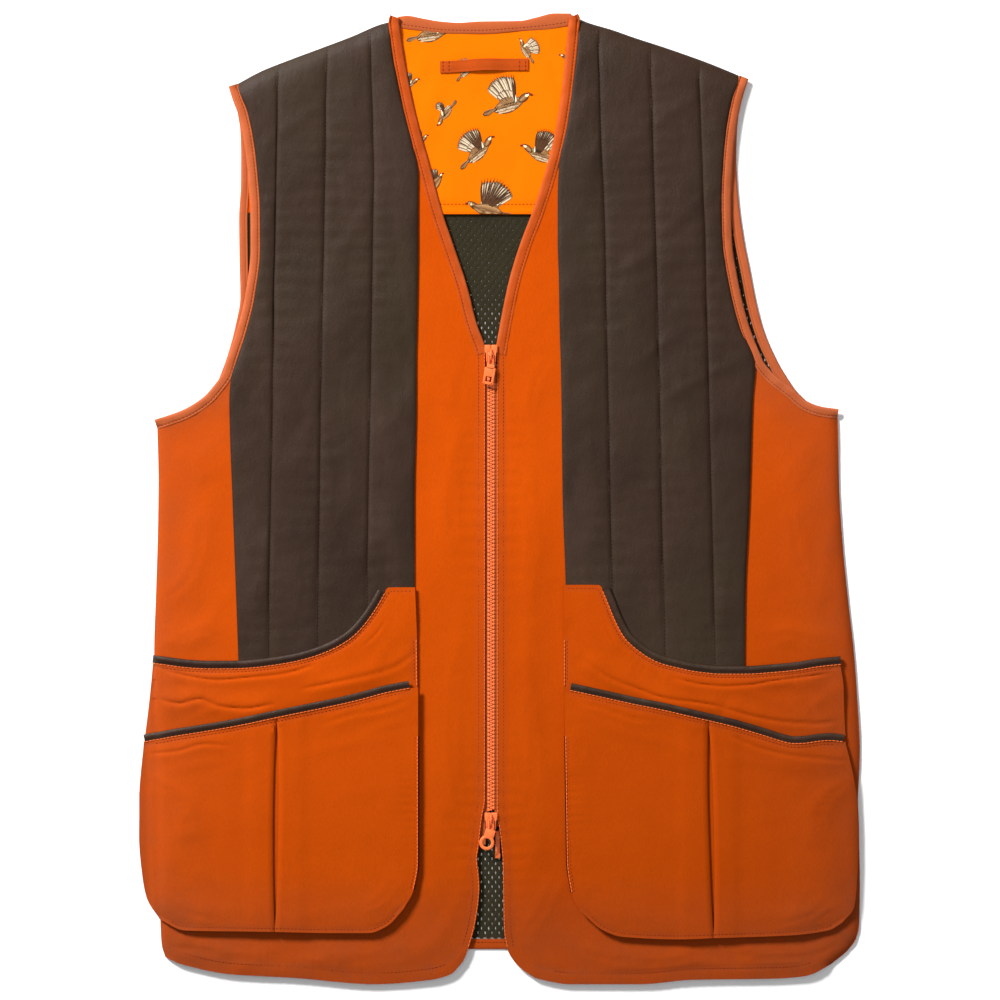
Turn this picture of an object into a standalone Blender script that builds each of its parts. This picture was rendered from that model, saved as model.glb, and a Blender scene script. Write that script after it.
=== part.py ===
# A shooting vest laid flat on its back: net back, twill fronts, quilted leather shoulder
# patches, two pleated pockets a side, cloth bindings and a two-way zip.
# The neck is at +Y and the wearer's right is at -X. Sizes are in millimetres, and the
# origin is the middle of the outline, on the surface the vest lies on.

import math
from collections import namedtuple

import bmesh
import bpy
import numpy as np

MM = 0.001
SEAM_GAP = 0.3
EDGE_GAP = 0.45
NET = 1.0
YOKE = 1.0
LINING = 1.0
CLOTH = 1.2
LEATHER = 1.2
BINDING_WIDTH = 8.0
TRIM_WIDTH = 5.6
FRONT_HEIGHT = 2.9
FOLD_REACH = 3.5
QUILT_PUFF = 0.9
ZIP_MIDDLE = -6.75
PLEAT_DEPTH = 12.0
PLEAT_LAYER = 1.5
PLEAT_OPEN = 1.3

ORANGE = (0.62, 0.10, 0.005)
CORAL = (0.68, 0.16, 0.05)
BROWN = (0.05, 0.03, 0.02)
SALMON = (0.80, 0.24, 0.09)
PRINT = (0.95, 0.30, 0.0)
OLIVE = (0.05, 0.04, 0.02)

# One row per section across a piece: where the section starts and where it ends.
Section = namedtuple("Section", "start_across start_up end_across end_up")
# One row per point of a free line.
Spot = namedtuple("Spot", "across up")
# One row per height of a quilted patch: its two edges and its three seams.
Quilt = namedtuple("Quilt", "up outer seam_1 seam_2 seam_3 inner")
# One row per soft fold of a front: where it lies, which way it runs and its size.
Fold = namedtuple("Fold", "across up turn length width height")


def sections(*rows):
    return [Section(*row) for row in rows]


def spots(*rows):
    return [Spot(*row) for row in rows]


RIGHT_FRONT = sections(
    (-267.5, -367, -29, -370),
    (-270.5, -356.5, -24.5, -359),
    (-271.5, -339, -19, -338),
    (-273, -305, -16, -310),
    (-273.5, -285, -18, -288),
    (-273.7, -277, -17.5, -281),
    (-273.8, -272.5, -11.5, -276.5),
    (-274, -235, -11.5, -235),
    (-275.5, -177, -11.5, -177),
    (-276.5, -125, -11.5, -125),
    (-275, -75, -11.5, -75),
    (-273.5, -25, -11.5, -25),
    (-273, 15, -11.5, 15),
    (-274, 54, -11.5, 52),
    (-262, 58.5, -11.5, 60),
    (-249, 63.5, -11.5, 69),
    (-231.5, 75.5, -11.5, 80),
    (-222, 87, -11.5, 92),
    (-215, 97, -11.5, 102),
    (-210.5, 111, -11.5, 117),
    (-208.5, 117, -19, 119.5),
    (-203, 134, -26.5, 140),
    (-196.5, 161, -33, 166),
    (-192, 199.5, -44, 199),
    (-191, 231, -54, 229),
    (-192, 258, -64, 266),
    (-195, 283, -72.5, 297),
    (-200.5, 308.5, -80, 330),
    (-205, 321, -85, 358),
    (-207.1, 327, -86.9, 372),
    (-207.9, 329.3, -87.6, 377.3),
    (-208.5, 331, -88, 381.5),
)
LEFT_FRONT = sections(
    (265, -373, 28.5, -383.5),
    (279.5, -361, 14, -373),
    (286, -351, 6, -359.5),
    (288, -339.5, 3.5, -343),
    (288.5, -310, 3, -310),
    (288.3, -290, 2.6, -290),
    (288, -278, 2, -280.5),
    (287.9, -272, -2, -276),
    (287, -240, -2, -240),
    (288.5, -201, -2, -201),
    (286, -153, -2, -153),
    (283.5, -121, -2, -121),
    (279.5, -85, -2, -85),
    (275, -40, -2, -40),
    (272, 5, -2, 5),
    (270.5, 53, -2, 51),
    (258, 57, -2, 60),
    (243, 62, -2, 69),
    (223, 75, -2, 81),
    (211, 88.5, -2, 95),
    (201, 106, -2, 117),
    (199, 110, 5, 119.5),
    (189, 139.5, 9, 142),
    (182, 173, 15.5, 173),
    (177, 207, 24, 201),
    (176.5, 239, 35, 230),
    (176.5, 271, 45, 262),
    (179, 295, 52.5, 293),
    (182, 315, 57.5, 324.5),
    (185, 325, 61, 358),
    (187.1, 331, 62.6, 374),
    (187.9, 333.3, 63.1, 379.3),
    (188.5, 335, 63.5, 383.5),
)
RIGHT_HEM = spots(
    (-267.5, -367), (-252.5, -373), (-215.5, -380.5), (-163.5, -383.5),
    (-99.5, -388.5), (-55, -385), (-39, -380.5), (-29, -370),
)
LEFT_HEM = spots(
    (28.5, -383.5), (43.5, -387), (55.5, -388.5), (112.5, -388.5),
    (154, -385), (221, -384), (244.5, -382), (265, -373),
)
RIGHT_SHOULDER = spots(
    (-208.5, 331), (-191, 341), (-168.5, 351), (-143, 360.5),
    (-118, 370), (-95.5, 379.5), (-88, 381.5),
)
LEFT_SHOULDER = spots(
    (63.5, 383.5), (75.5, 379.5), (91, 375), (105, 370),
    (134, 360.5), (161, 351), (174, 346), (188.5, 335),
)
NET_BACK = sections(
    (-266, -352.5, 281, -352.5),
    (-268.5, -330, 284, -330),
    (-270, -280, 284, -280),
    (-271, -200, 284, -200),
    (-272.5, -125, 279.5, -125),
    (-271, -60, 273, -60),
    (-269.5, 0, 267.5, 0),
    (-270, 50, 266.5, 50),
    (-250, 58, 250, 59),
    (-233, 67, 240, 71),
    (-221, 80, 233, 84),
    (-211, 106, 221, 107.6),
    (-202.5, 136, 207.3, 138.2),
    (-197.3, 165, 197.5, 170.3),
    (-198.2, 196, 189.4, 201.8),
    (-199.2, 228.7, 184.5, 228.7),
)
YOKE_SECTIONS = sections(
    (-199.2, 229, 184.5, 229),
    (-197.3, 262, 180.8, 262),
    (-197.8, 290, 180.0, 292),
    (-200.5, 310, 183, 313),
    (-203, 322, 187, 326),
)
YOKE_HEAD = spots(
    (-203, 322), (-168, 341), (-130, 357), (-95, 370), (-62, 374.9), (-47.5, 373.2),
    (-33, 372.8), (-15.5, 372.8), (16.5, 374.7), (34, 376.2), (65, 371.5), (105, 359.5),
    (134, 350), (161, 340), (187, 326),
)
LINING_HEAD = spots(
    (-201, 306), (-168, 327), (-130, 343), (-100, 354), (-85, 360), (-78.8, 373),
    (-62, 374.9), (-47.5, 373.2), (-33, 372.8), (-15.5, 372.8), (16.5, 374.7),
    (34, 376.2), (54.8, 375), (61, 361), (75, 356), (105, 346), (134, 336),
    (161, 326), (185, 310),
)
NECK_TOP = spots(
    (-78.3, 387), (-74, 387), (-62, 384.5), (-47.5, 382), (-33, 381), (-15.5, 382),
    (16.5, 382.5), (28.5, 385), (44.5, 388.5), (54.5, 388.5),
)
NECK_FOOT = spots(
    (-78.3, 379.4), (-62, 376), (-47.5, 374), (-33, 373.5), (-15.5, 373.5),
    (16.5, 375.5), (34, 377), (54.5, 381),
)
RIGHT_BACK_ARMHOLE = spots(
    (-225, 95), (-218, 114), (-210.5, 139.5), (-206, 161), (-206.5, 190),
    (-207.5, 225), (-206, 250), (-205.5, 273), (-206.5, 294), (-209.5, 311),
)
LEFT_BACK_ARMHOLE = spots(
    (247, 79.5), (241, 88), (236, 98), (229, 111), (215.5, 141), (206, 172.5), (198, 203.5), (192.5, 235),
    (189.5, 255), (188.5, 273), (188.5, 294), (192, 313), (194.5, 321),
)
RIGHT_QUILT = [
    Quilt(*row)
    for row in (
        (-139, -209, -185, -146.5, -106, -67.5),
        (-81, -211, -184.5, -145.5, -106, -67.5),
        (-1, -214, -183, -144, -105, -67.5),
        (79, -216.5, -181.5, -143, -103.5, -66),
        (97, -215, -181.5, -142.5, -103, -66),
        (111, -210.5, -181, -142.5, -103, -66),
        (134, -203, -180.5, -142, -102.5, -65.5),
        (161, -196.5, -180.5, -141.5, -102, -65),
        (199.5, -192, -179.5, -140.5, -101.5, -64.5),
        (231, -191, -179, -140, -101, -64.5),
        (258, -192, -178.5, -139.5, -100.5, -64.3),
        (283, -195, -178, -139, -101, -69),
        (308.5, -200.5, -177.5, -139, -101.5, -75.5),
        (331, -208.5, -177.5, -138.5, -102.5, -80.2),
        (355, -208.5, -177, -138, -103, -85),
        (381.5, -208.5, -177, -138, -103.5, -88),
    )
]
LEFT_QUILT = [
    Quilt(*row)
    for row in (
        (-139, 196.5, 172.5, 132.5, 90, 52.5),
        (-81, 197, 171.5, 131.5, 90, 52.5),
        (-1, 200.5, 169.5, 129.5, 88.5, 50),
        (79, 203, 167.5, 128, 87, 49),
        (106, 201, 167, 127.5, 86.5, 48.5),
        (139.5, 189, 166, 126.5, 85.5, 47.5),
        (173, 182, 165, 126, 85, 47),
        (207, 177, 164.5, 125, 84.5, 46),
        (239, 176.5, 163, 124, 83.5, 46),
        (271, 176.5, 162, 123, 82, 47.5),
        (295, 179, 161, 122.5, 81, 53),
        (315, 182, 160.5, 122, 80.5, 56),
        (335, 188.5, 159.5, 121, 80, 58.5),
        (359.5, 188.5, 159.5, 120.5, 79, 61.5),
        (383.5, 188.5, 159.5, 120.5, 79, 63.5),
    )
]
# The two ends of each row across a patch, from under the pocket to the shoulder.
RIGHT_PATCH_ROWS = sections(
    (-209, -147, -67.5, -84),
    (-210, -115, -67.5, -60),
    (-212, -75, -67.5, -30),
    (-213, -30, -67.5, 10),
    (-215, 25, -67, 50),
    (-216, 79, -66, 88),
    (-215, 97, -66, 105),
    (-210.5, 111, -66, 120),
    (-203, 134, -65.5, 145),
    (-196.5, 161, -65, 172),
    (-192, 199.5, -64.5, 205),
    (-191, 231, -64.5, 235),
    (-192, 258, -64.3, 266),
    (-195, 283, -72, 296),
    (-200.5, 308.5, -77, 335),
    (-204.5, 319, -84, 358),
    (-206.8, 325.5, -86.7, 370.5),
    (-207.9, 329, -87.7, 377.5),
    (-208.5, 331, -88, 381.5),
)
LEFT_PATCH_ROWS = sections(
    (196.5, -152, 52.5, -84),
    (197, -110, 52.5, -55),
    (199, -60, 51, -20),
    (200.5, -10, 50, 20),
    (202, 40, 49, 55),
    (203, 79, 48.7, 88),
    (201, 106, 48.5, 112),
    (189, 139.5, 47.5, 145),
    (182, 173, 47, 176),
    (177, 207, 46, 207),
    (176.5, 239, 46, 239),
    (176.5, 271, 47.5, 271),
    (179, 295, 53.5, 299),
    (182, 315, 57.5, 335),
    (185, 324, 60.5, 358),
    (187.1, 329.7, 62.3, 372),
    (188.1, 333, 63.2, 379.7),
    (188.5, 335, 63.5, 383.5),
)
RIGHT_POCKET_TOP = spots(
    (-277, -125), (-272.5, -125.6), (-267, -126.3), (-259, -127.2), (-247, -128.6), (-230, -130), (-190, -130), (-163.5, -128.5), (-142, -119.5),
    (-120, -104.5), (-107, -87), (-99.5, -76.5),
)
LEFT_POCKET_TOP = spots(
    (272, -127), (251.5, -130.5), (219, -135.5), (186, -138), (164.5, -137),
    (142, -134), (120.5, -123.5), (105, -111), (91.5, -91), (86.5, -78.5),
)
RIGHT_PANEL = sections(
    (-271.5, -336.5, -76.5, -327.5),
    (-282.5, -319, -68.5, -312.5),
    (-286, -301, -65, -291),
    (-288.5, -270, -65, -262),
    (-288.5, -240, -65, -232),
    (-286, -208, -65, -203),
    (-284, -191.5, -65, -183),
    (-281, -168, -65.5, -150),
    (-279, -150, -66, -113),
    (-277.3, -131.5, -67.5, -71),
)
LEFT_PANEL = sections(
    (274, -339, 65, -330),
    (283.5, -326, 57.5, -315),
    (286, -301, 54, -291),
    (287, -270, 53.5, -262),
    (286, -245, 53, -232),
    (283, -224.5, 52.5, -203),
    (277.5, -200, 52, -183),
    (275.5, -170, 51.5, -150),
    (274.8, -150, 51.5, -113),
    (272.3, -133.5, 51.5, -69),
)
RIGHT_POCKET_FOOT = spots(
    (-271.5, -336.5), (-251.5, -345), (-179.5, -346), (-135.5, -347),
    (-104.5, -347), (-89, -341), (-76.5, -327.5),
)
LEFT_POCKET_FOOT = spots(
    (65, -330), (83, -345), (98, -350), (142, -352), (171.5, -351),
    (230, -349), (263, -345), (274, -339),
)
RIGHT_PATCH_FOOT = spots(
    (-209, -147), (-190, -147), (-163.5, -145), (-142, -138), (-120, -122),
    (-108, -106), (-98, -92), (-90, -84), (-67.5, -84),
)
LEFT_PATCH_FOOT = spots(
    (52.5, -84), (76, -84), (84, -92), (91.5, -107), (105, -127), (120.5, -140),
    (142, -150), (164.5, -153.5), (196.5, -152),
)
RIGHT_MOUTH = spots(
    (-285, -191.5), (-279, -190.6), (-273, -189.8), (-266, -188.8), (-251.5, -186.5), (-207.5, -175.5), (-179.5, -169),
    (-142, -163.5), (-109, -155.5), (-72.5, -149),
)
LEFT_MOUTH = spots(
    (275.5, -191.5), (254, -193), (236.5, -193), (219, -190), (186, -182),
    (164.5, -175.5), (142, -170), (98, -159), (56.5, -150),
)
RIGHT_POCKET = sections(
    (-271.5, -336.5, -76.5, -327.5),
    (-282.5, -319, -68.5, -312.5),
    (-286, -301, -65, -291),
    (-288.5, -270, -65, -260),
    (-288, -240, -65, -225),
    (-286, -215, -65, -190),
    (-284.7, -197.6, -65, -154.5),
)
LEFT_POCKET = sections(
    (274, -339, 65, -330),
    (283.5, -326, 57.5, -315),
    (286, -301, 54, -291),
    (287, -270, 53.5, -260),
    (286, -245, 53, -225),
    (283, -224.5, 52.5, -190),
    (276.3, -197.6, 51.8, -155),
)
RIGHT_POCKET_HEAD = spots(
    (-284.7, -197.6), (-251.5, -192.6), (-207.5, -181.8), (-179.5, -175.2),
    (-142, -169.6), (-109, -161.6), (-72.5, -155.1), (-65, -154.5),
)
LEFT_POCKET_HEAD = spots(
    (51.8, -155), (56.5, -156.2), (98, -165.2), (142, -176.2), (164.5, -181.7),
    (186, -188.2), (219, -196.1), (236.5, -199.1), (254, -199), (276.3, -197.6),
)
FOLDS = [
    Fold(*row)
    for row in (
        (-240, -30, 75, 150, 16, 0.9),
        (-238, 25, 20, 60, 14, 0.7),
        (-40, 20, 80, 160, 12, 0.6),
        (-45, -250, 84, 120, 11, 0.8),
        (-130, -366, 12, 90, 9, 0.8),
        (-215, -365, -20, 60, 8, 0.6),
        (-60, -360, 40, 40, 8, 0.6),
        (25, -60, 88, 200, 10, 0.7),
        (30, -270, 80, 110, 11, 0.8),
        (240, 10, 105, 150, 16, 0.9),
        (235, -60, 150, 70, 14, 0.6),
        (130, -366, -8, 110, 9, 0.7),
        (-140, 120, 60, 180, 26, 0.8),
        (125, 90, 110, 190, 26, 0.8),
        (120, 290, 30, 90, 22, 0.6),
        (-150, 260, 140, 90, 22, 0.6),
    )
]


def ease(amount):
    """0 to 1, with soft ends."""
    amount = np.clip(amount, 0.0, 1.0)
    return amount * amount * (3.0 - 2.0 * amount)


def read(places, values, at):
    """A smooth line through values at rising places that never swings past them."""
    places = np.asarray(places, float)
    values = np.asarray(values, float)
    gaps = np.diff(places)
    rises = np.diff(values) / gaps
    slopes = np.zeros(len(places))
    same = rises[:-1] * rises[1:] > 0
    total = np.where(same, rises[:-1] + rises[1:], 1.0)
    slopes[1:-1] = np.where(same, 2.0 * rises[:-1] * rises[1:] / total, 0.0)
    slopes[0] = rises[0]
    slopes[-1] = rises[-1]
    index = np.clip(np.searchsorted(places, at) - 1, 0, len(gaps) - 1)
    part = np.clip((at - places[index]) / gaps[index], 0.0, 1.0)
    first = values[index] * (1 + 2 * part) + slopes[index] * gaps[index] * part
    second = values[index + 1] * (3 - 2 * part) + slopes[index + 1] * gaps[index] * (part - 1)
    return first * (1 - part) ** 2 + second * part**2


def read_spots(line, at):
    """Height of a free line at the places across."""
    ordered = sorted(line)
    return read([spot.across for spot in ordered], [spot.up for spot in ordered], at)


def away(across, up, line):
    """Distance of each place from a free line."""
    line = np.asarray(line, float)
    nearest = np.full(np.shape(across), 1e9)
    for start, end in zip(line[:-1], line[1:]):
        along = end - start
        reach = max(float(along @ along), 1e-9)
        part = ((across - start[0]) * along[0] + (up - start[1]) * along[1]) / reach
        part = np.clip(part, 0.0, 1.0)
        gap_across = across - start[0] - part * along[0]
        gap_up = up - start[1] - part * along[1]
        nearest = np.minimum(nearest, np.hypot(gap_across, gap_up))
    return nearest


def starts(rows):
    return [(row.start_across, row.start_up) for row in rows]


def ends(rows):
    return [(row.end_across, row.end_up) for row in rows]


def moved(line, distance):
    """A line's points shifted square to it; a positive distance is to its left."""
    line = np.asarray(line, float)
    along = np.gradient(line, axis=0)
    along /= np.linalg.norm(along, axis=1)[:, None]
    return line + distance * np.stack([-along[:, 1], along[:, 0]], axis=1)


def side_of(line, first, last):
    """The rows of a section line whose height is between first and last."""
    return [spot for spot in line if first <= spot[1] <= last]


RIGHT_SIDE = side_of(starts(RIGHT_FRONT), -400, 55)
LEFT_SIDE = side_of(starts(LEFT_FRONT), -400, 55)
SHOULDER_DROP = 2.8


def fold_distance(across, up):
    """Distance from the edges where the cloth turns over to the back."""
    right = away(across, up, RIGHT_SIDE)
    left = away(across, up, LEFT_SIDE)
    lowered = [(spot.across, spot.up - SHOULDER_DROP) for spot in RIGHT_SHOULDER]
    right_shoulder = away(across, up, lowered)
    lowered = [(spot.across, spot.up - SHOULDER_DROP) for spot in LEFT_SHOULDER]
    left_shoulder = away(across, up, lowered)
    return np.minimum(np.minimum(right, left), np.minimum(right_shoulder, left_shoulder))


def folds(across, up):
    """The soft folds of the fronts, each a long low swelling."""
    total = np.zeros(np.shape(across))
    for fold in FOLDS:
        turn = math.radians(fold.turn)
        along = (across - fold.across) * math.cos(turn) + (up - fold.up) * math.sin(turn)
        aside = (up - fold.up) * math.cos(turn) - (across - fold.across) * math.sin(turn)
        reach = (2.2 * along / fold.length) ** 2 + (aside / fold.width) ** 2
        total += fold.height * np.exp(-reach)
    return total * ease((np.abs(across - ZIP_MIDDLE) - 8.0) / 25.0)


def front_under(across, up):
    """Height of the underside of the fronts above the surface."""
    high = FRONT_HEIGHT + folds(across, up)
    drop = np.exp(-fold_distance(across, up) / FOLD_REACH)
    return high - (high - 0.2) * drop


def front_top(across, up):
    return front_under(across, up) + CLOTH


def patch_under(across, up, shoulder):
    """The leather follows the front and turns over the shoulder a little beyond it."""
    line = [(spot.across, spot.up) for spot in shoulder]
    turn = ease(away(across, up, line) / 2.6)
    return 0.2 + (front_top(across, up) + 1.6 * SEAM_GAP - 0.2) * turn


def panel_under(across, up, side, top):
    """A pocket panel lies on the front, stands over the leather and hangs at the side."""
    line = np.asarray(side, float)
    edge = read(line[:, 1], line[:, 0], up)
    outside = np.abs(across) - np.abs(edge)
    stands = 0.6 + 1.6 * (1.0 - ease((away(across, up, top) - 22.0) / 30.0))
    lies = np.maximum(front_top(across, up) + stands, 2.1)
    hangs = 2.1 - 1.7 * ease((outside - 2.5) / 6.0)
    return np.where(outside < 0, lies, hangs)


def piece(name, colour, lower, upper, roughness=0.8):
    """One closed wall between two facing sheets of points, each rows x columns x 3."""
    rows, columns = lower.shape[:2]
    bm = bmesh.new()
    bmesh.ops.create_grid(bm, x_segments=columns - 1, y_segments=rows - 1, size=0.5)
    grown = bmesh.ops.extrude_face_region(bm, geom=bm.faces[:], use_keep_orig=True)
    top = {item for item in grown["geom"] if isinstance(item, bmesh.types.BMVert)}
    for vert in bm.verts:
        column = round((vert.co.x + 0.5) * (columns - 1))
        row = round((vert.co.y + 0.5) * (rows - 1))
        place = upper[row, column] if vert in top else lower[row, column]
        vert.co = place * MM
    bmesh.ops.recalc_face_normals(bm, faces=bm.faces)
    if bm.calc_volume(signed=True) < 0:
        bmesh.ops.reverse_faces(bm, faces=bm.faces)
    mesh = bpy.data.meshes.new(name)
    bm.to_mesh(mesh)
    bm.free()
    return place_object(name, mesh, colour, roughness)


def place_object(name, mesh, colour, roughness=0.8):
    obj = bpy.data.objects.new(name, mesh)
    vest.objects.link(obj)
    material = bpy.data.materials.new(name)
    material.use_nodes = True
    shader = material.node_tree.nodes["Principled BSDF"]
    shader.inputs["Base Color"].default_value = (*colour, 1.0)
    shader.inputs["Roughness"].default_value = roughness
    mesh.materials.append(material)
    return obj


def row_lines(rows, steps):
    """Both ends of every row, with more rows between the given ones."""
    table = np.asarray(rows, float)
    index = np.arange(len(table))
    at = np.linspace(0, len(table) - 1, (len(table) - 1) * steps + 1)
    return np.stack([read(index, table[:, column], at) for column in range(4)], axis=1)


def spread(rows, shares, steps=1, foot=None, head=None, reach=(90.0, 90.0)):
    """Places (across, up) of a panel: rows from the foot to the head, columns at the
    shares of each row, bent to the foot and head lines and straight beyond their reach."""
    lines = row_lines(rows, steps)
    if callable(shares):
        shares = shares(lines)
    shares = np.broadcast_to(shares, (len(lines), np.shape(shares)[-1]))
    across = lines[:, 0:1] * (1 - shares) + lines[:, 2:3] * shares
    up = lines[:, 1:2] * (1 - shares) + lines[:, 3:4] * shares
    middle = (lines[:, 1] + lines[:, 3]) / 2
    for line, row, length in ((foot, 0, reach[0]), (head, -1, reach[1])):
        if line is None:
            continue
        bend = read_spots(line, across[row]) - up[row]
        fade = np.clip(1.0 - np.abs(middle - middle[row]) / length, 0.0, 1.0)
        up = up + fade[:, None] * bend[None, :]
    return across, up


def sheet(across, up, height):
    return np.stack([across, up, np.broadcast_to(height, across.shape)], axis=2)


def flat_piece(name, colour, rows, columns, low, thickness, steps=1, **bends):
    across, up = spread(rows, np.linspace(0, 1, columns), steps, **bends)
    low = np.full(across.shape, low)
    return piece(name, colour, sheet(across, up, low), sheet(across, up, low + thickness))


def panel_head(top_line, corner):
    """The top edge of a pocket panel: under its leather binding, then up to its corner."""
    way = math.copysign(1.0, corner.across - top_line[0].across)
    lowest = moved(top_line, -way * (TRIM_WIDTH + 1.0))
    line = [Spot(*spot) for spot in lowest]
    last = line[-1].across
    line.append(Spot(last + way * 0.8, corner.up - 2.0))
    line.append(Spot(last + way * 2.6, corner.up - 0.2))
    for share in (0.33, 0.66, 1.0):
        line.append(Spot(last + way * 2.6 + share * (corner.across - last - way * 2.6), corner.up))
    return line


def panel_shares(lines, head):
    """Columns close at the hanging side, then one through each spot of the head."""
    width = abs(lines[-1, 2] - lines[-1, 0])
    near = np.array([0.0, 1.5, 4.5, 8.0, 11.0, 14.0, 17.0, 21.0, 27.0]) / width
    rest = [abs(spot.across - lines[-1, 0]) / width for spot in head[1:]]
    return np.array([*near, *(share for share in rest if share > near[-1] + 0.02)])


def edge_shares(lines):
    """Columns close together where the cloth turns over, then evenly spread."""
    width = np.hypot(lines[:, 2] - lines[:, 0], lines[:, 3] - lines[:, 1])[:, None]
    near = np.array([0.0, 1.2, 3.5, 8.0])[None, :] / width
    rest = np.linspace(0, 1, 10)[None, 1:]
    start = 14.0 / width
    return np.concatenate([near, start, start + (1 - start) * rest], axis=1)


def slid_down(row, rows, drop):
    """A row moved down, its ends kept on the panel's edges."""
    start_up = row.start_up - drop
    end_up = row.end_up - drop
    table = np.asarray(rows, float)
    start_across = np.interp(start_up, table[:, 1], table[:, 0])
    end_across = np.interp(end_up, table[:, 3], table[:, 2])
    return Section(start_across, start_up, end_across, end_up)


def front(name, rows, hem, shoulder):
    lowered = [Spot(spot.across, spot.up - SHOULDER_DROP) for spot in shoulder]
    near_shoulder = [slid_down(row, rows, SHOULDER_DROP) for row in rows[-3:]]
    across, up = spread(
        rows[:-3] + near_shoulder, edge_shares, foot=hem, head=lowered, reach=(45.0, 60.0)
    )
    low = front_under(across, up)
    return piece(name, ORANGE, sheet(across, up, low), sheet(across, up, low + CLOTH))


def quilted_patch(name, rows, quilt, foot, shoulder):
    """Leather in four channels: the outer face swells between the seams."""
    per_channel = 4
    share = np.linspace(0, 1, 4 * per_channel + 1)
    lines = row_lines(rows, 1)
    table = np.asarray(sorted(quilt), float)
    up = lines[:, 1:2] * (1 - share) + lines[:, 3:4] * share
    edges = [read(table[:, 0], table[:, column], up) for column in range(1, 6)]
    across = np.empty(up.shape)
    inward = math.copysign(0.5, edges[4][0, 0] - edges[0][0, 0])
    edges[0] = edges[0] + inward
    edges[4] = edges[4] - inward
    for column in range(len(share)):
        channel = min(column // per_channel, 3)
        part = column / per_channel - channel
        across[:, column] = (
            edges[channel][:, column] * (1 - part) + edges[channel + 1][:, column] * part
        )
    middle = (lines[:, 1] + lines[:, 3]) / 2
    for line, row, length in ((foot, 0, 120.0), (shoulder, -1, 60.0)):
        bend = read_spots(line, across[row]) - up[row]
        fade = np.clip(1.0 - np.abs(middle - middle[row]) / length, 0.0, 1.0)
        up = up + fade[:, None] * bend[None, :]
    low = patch_under(across, up, shoulder)
    swell = np.abs(np.sin(math.pi * share * 4)) ** 0.7
    ends_fade = ease((middle - middle[0] - 25.0) / 45.0) * ease((middle[-1] - middle - 3.0) / 20.0)
    relief = QUILT_PUFF * swell[None, :] * ends_fade[:, None]
    return piece(
        name, BROWN, sheet(across, up, low), sheet(across, up, low + LEATHER + relief), 0.55
    )


def strip(name, colour, line, width, under, top, crown=0.7, roughness=0.8):
    """A binding laid along a line: rounded over, thin at its outer edge."""
    shares = np.array([0.0, 0.25, 0.7, 1.0])
    rise = np.array([0.15, crown, crown, -0.2])
    sink = np.array([0.0, 0.3, 0.3, 0.0])
    side = 1.0 if width > 0 else -1.0
    lines = [moved(line, side * EDGE_GAP + share * (width - side * EDGE_GAP)) for share in shares]
    places = np.stack(lines, axis=1)
    across = places[:, :, 0]
    up = places[:, :, 1]
    low = under(across, up) - sink[None, :]
    high = top(across, up) + rise[None, :]
    return piece(name, colour, sheet(across, up, low), sheet(across, up, high), roughness)


def thicken(middle, thickness):
    """The two faces of a folded section, each half a thickness from its middle line."""
    before = np.roll(middle, 1, axis=1)
    after = np.roll(middle, -1, axis=1)
    before[:, 0] = middle[:, 0]
    after[:, -1] = middle[:, -1]
    run = after - before
    normal = np.stack([-run[..., 2], np.zeros(run.shape[:2]), run[..., 0]], axis=2)
    normal /= np.linalg.norm(normal, axis=2)[..., None]
    return middle - normal * thickness / 2, middle + normal * thickness / 2


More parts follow.
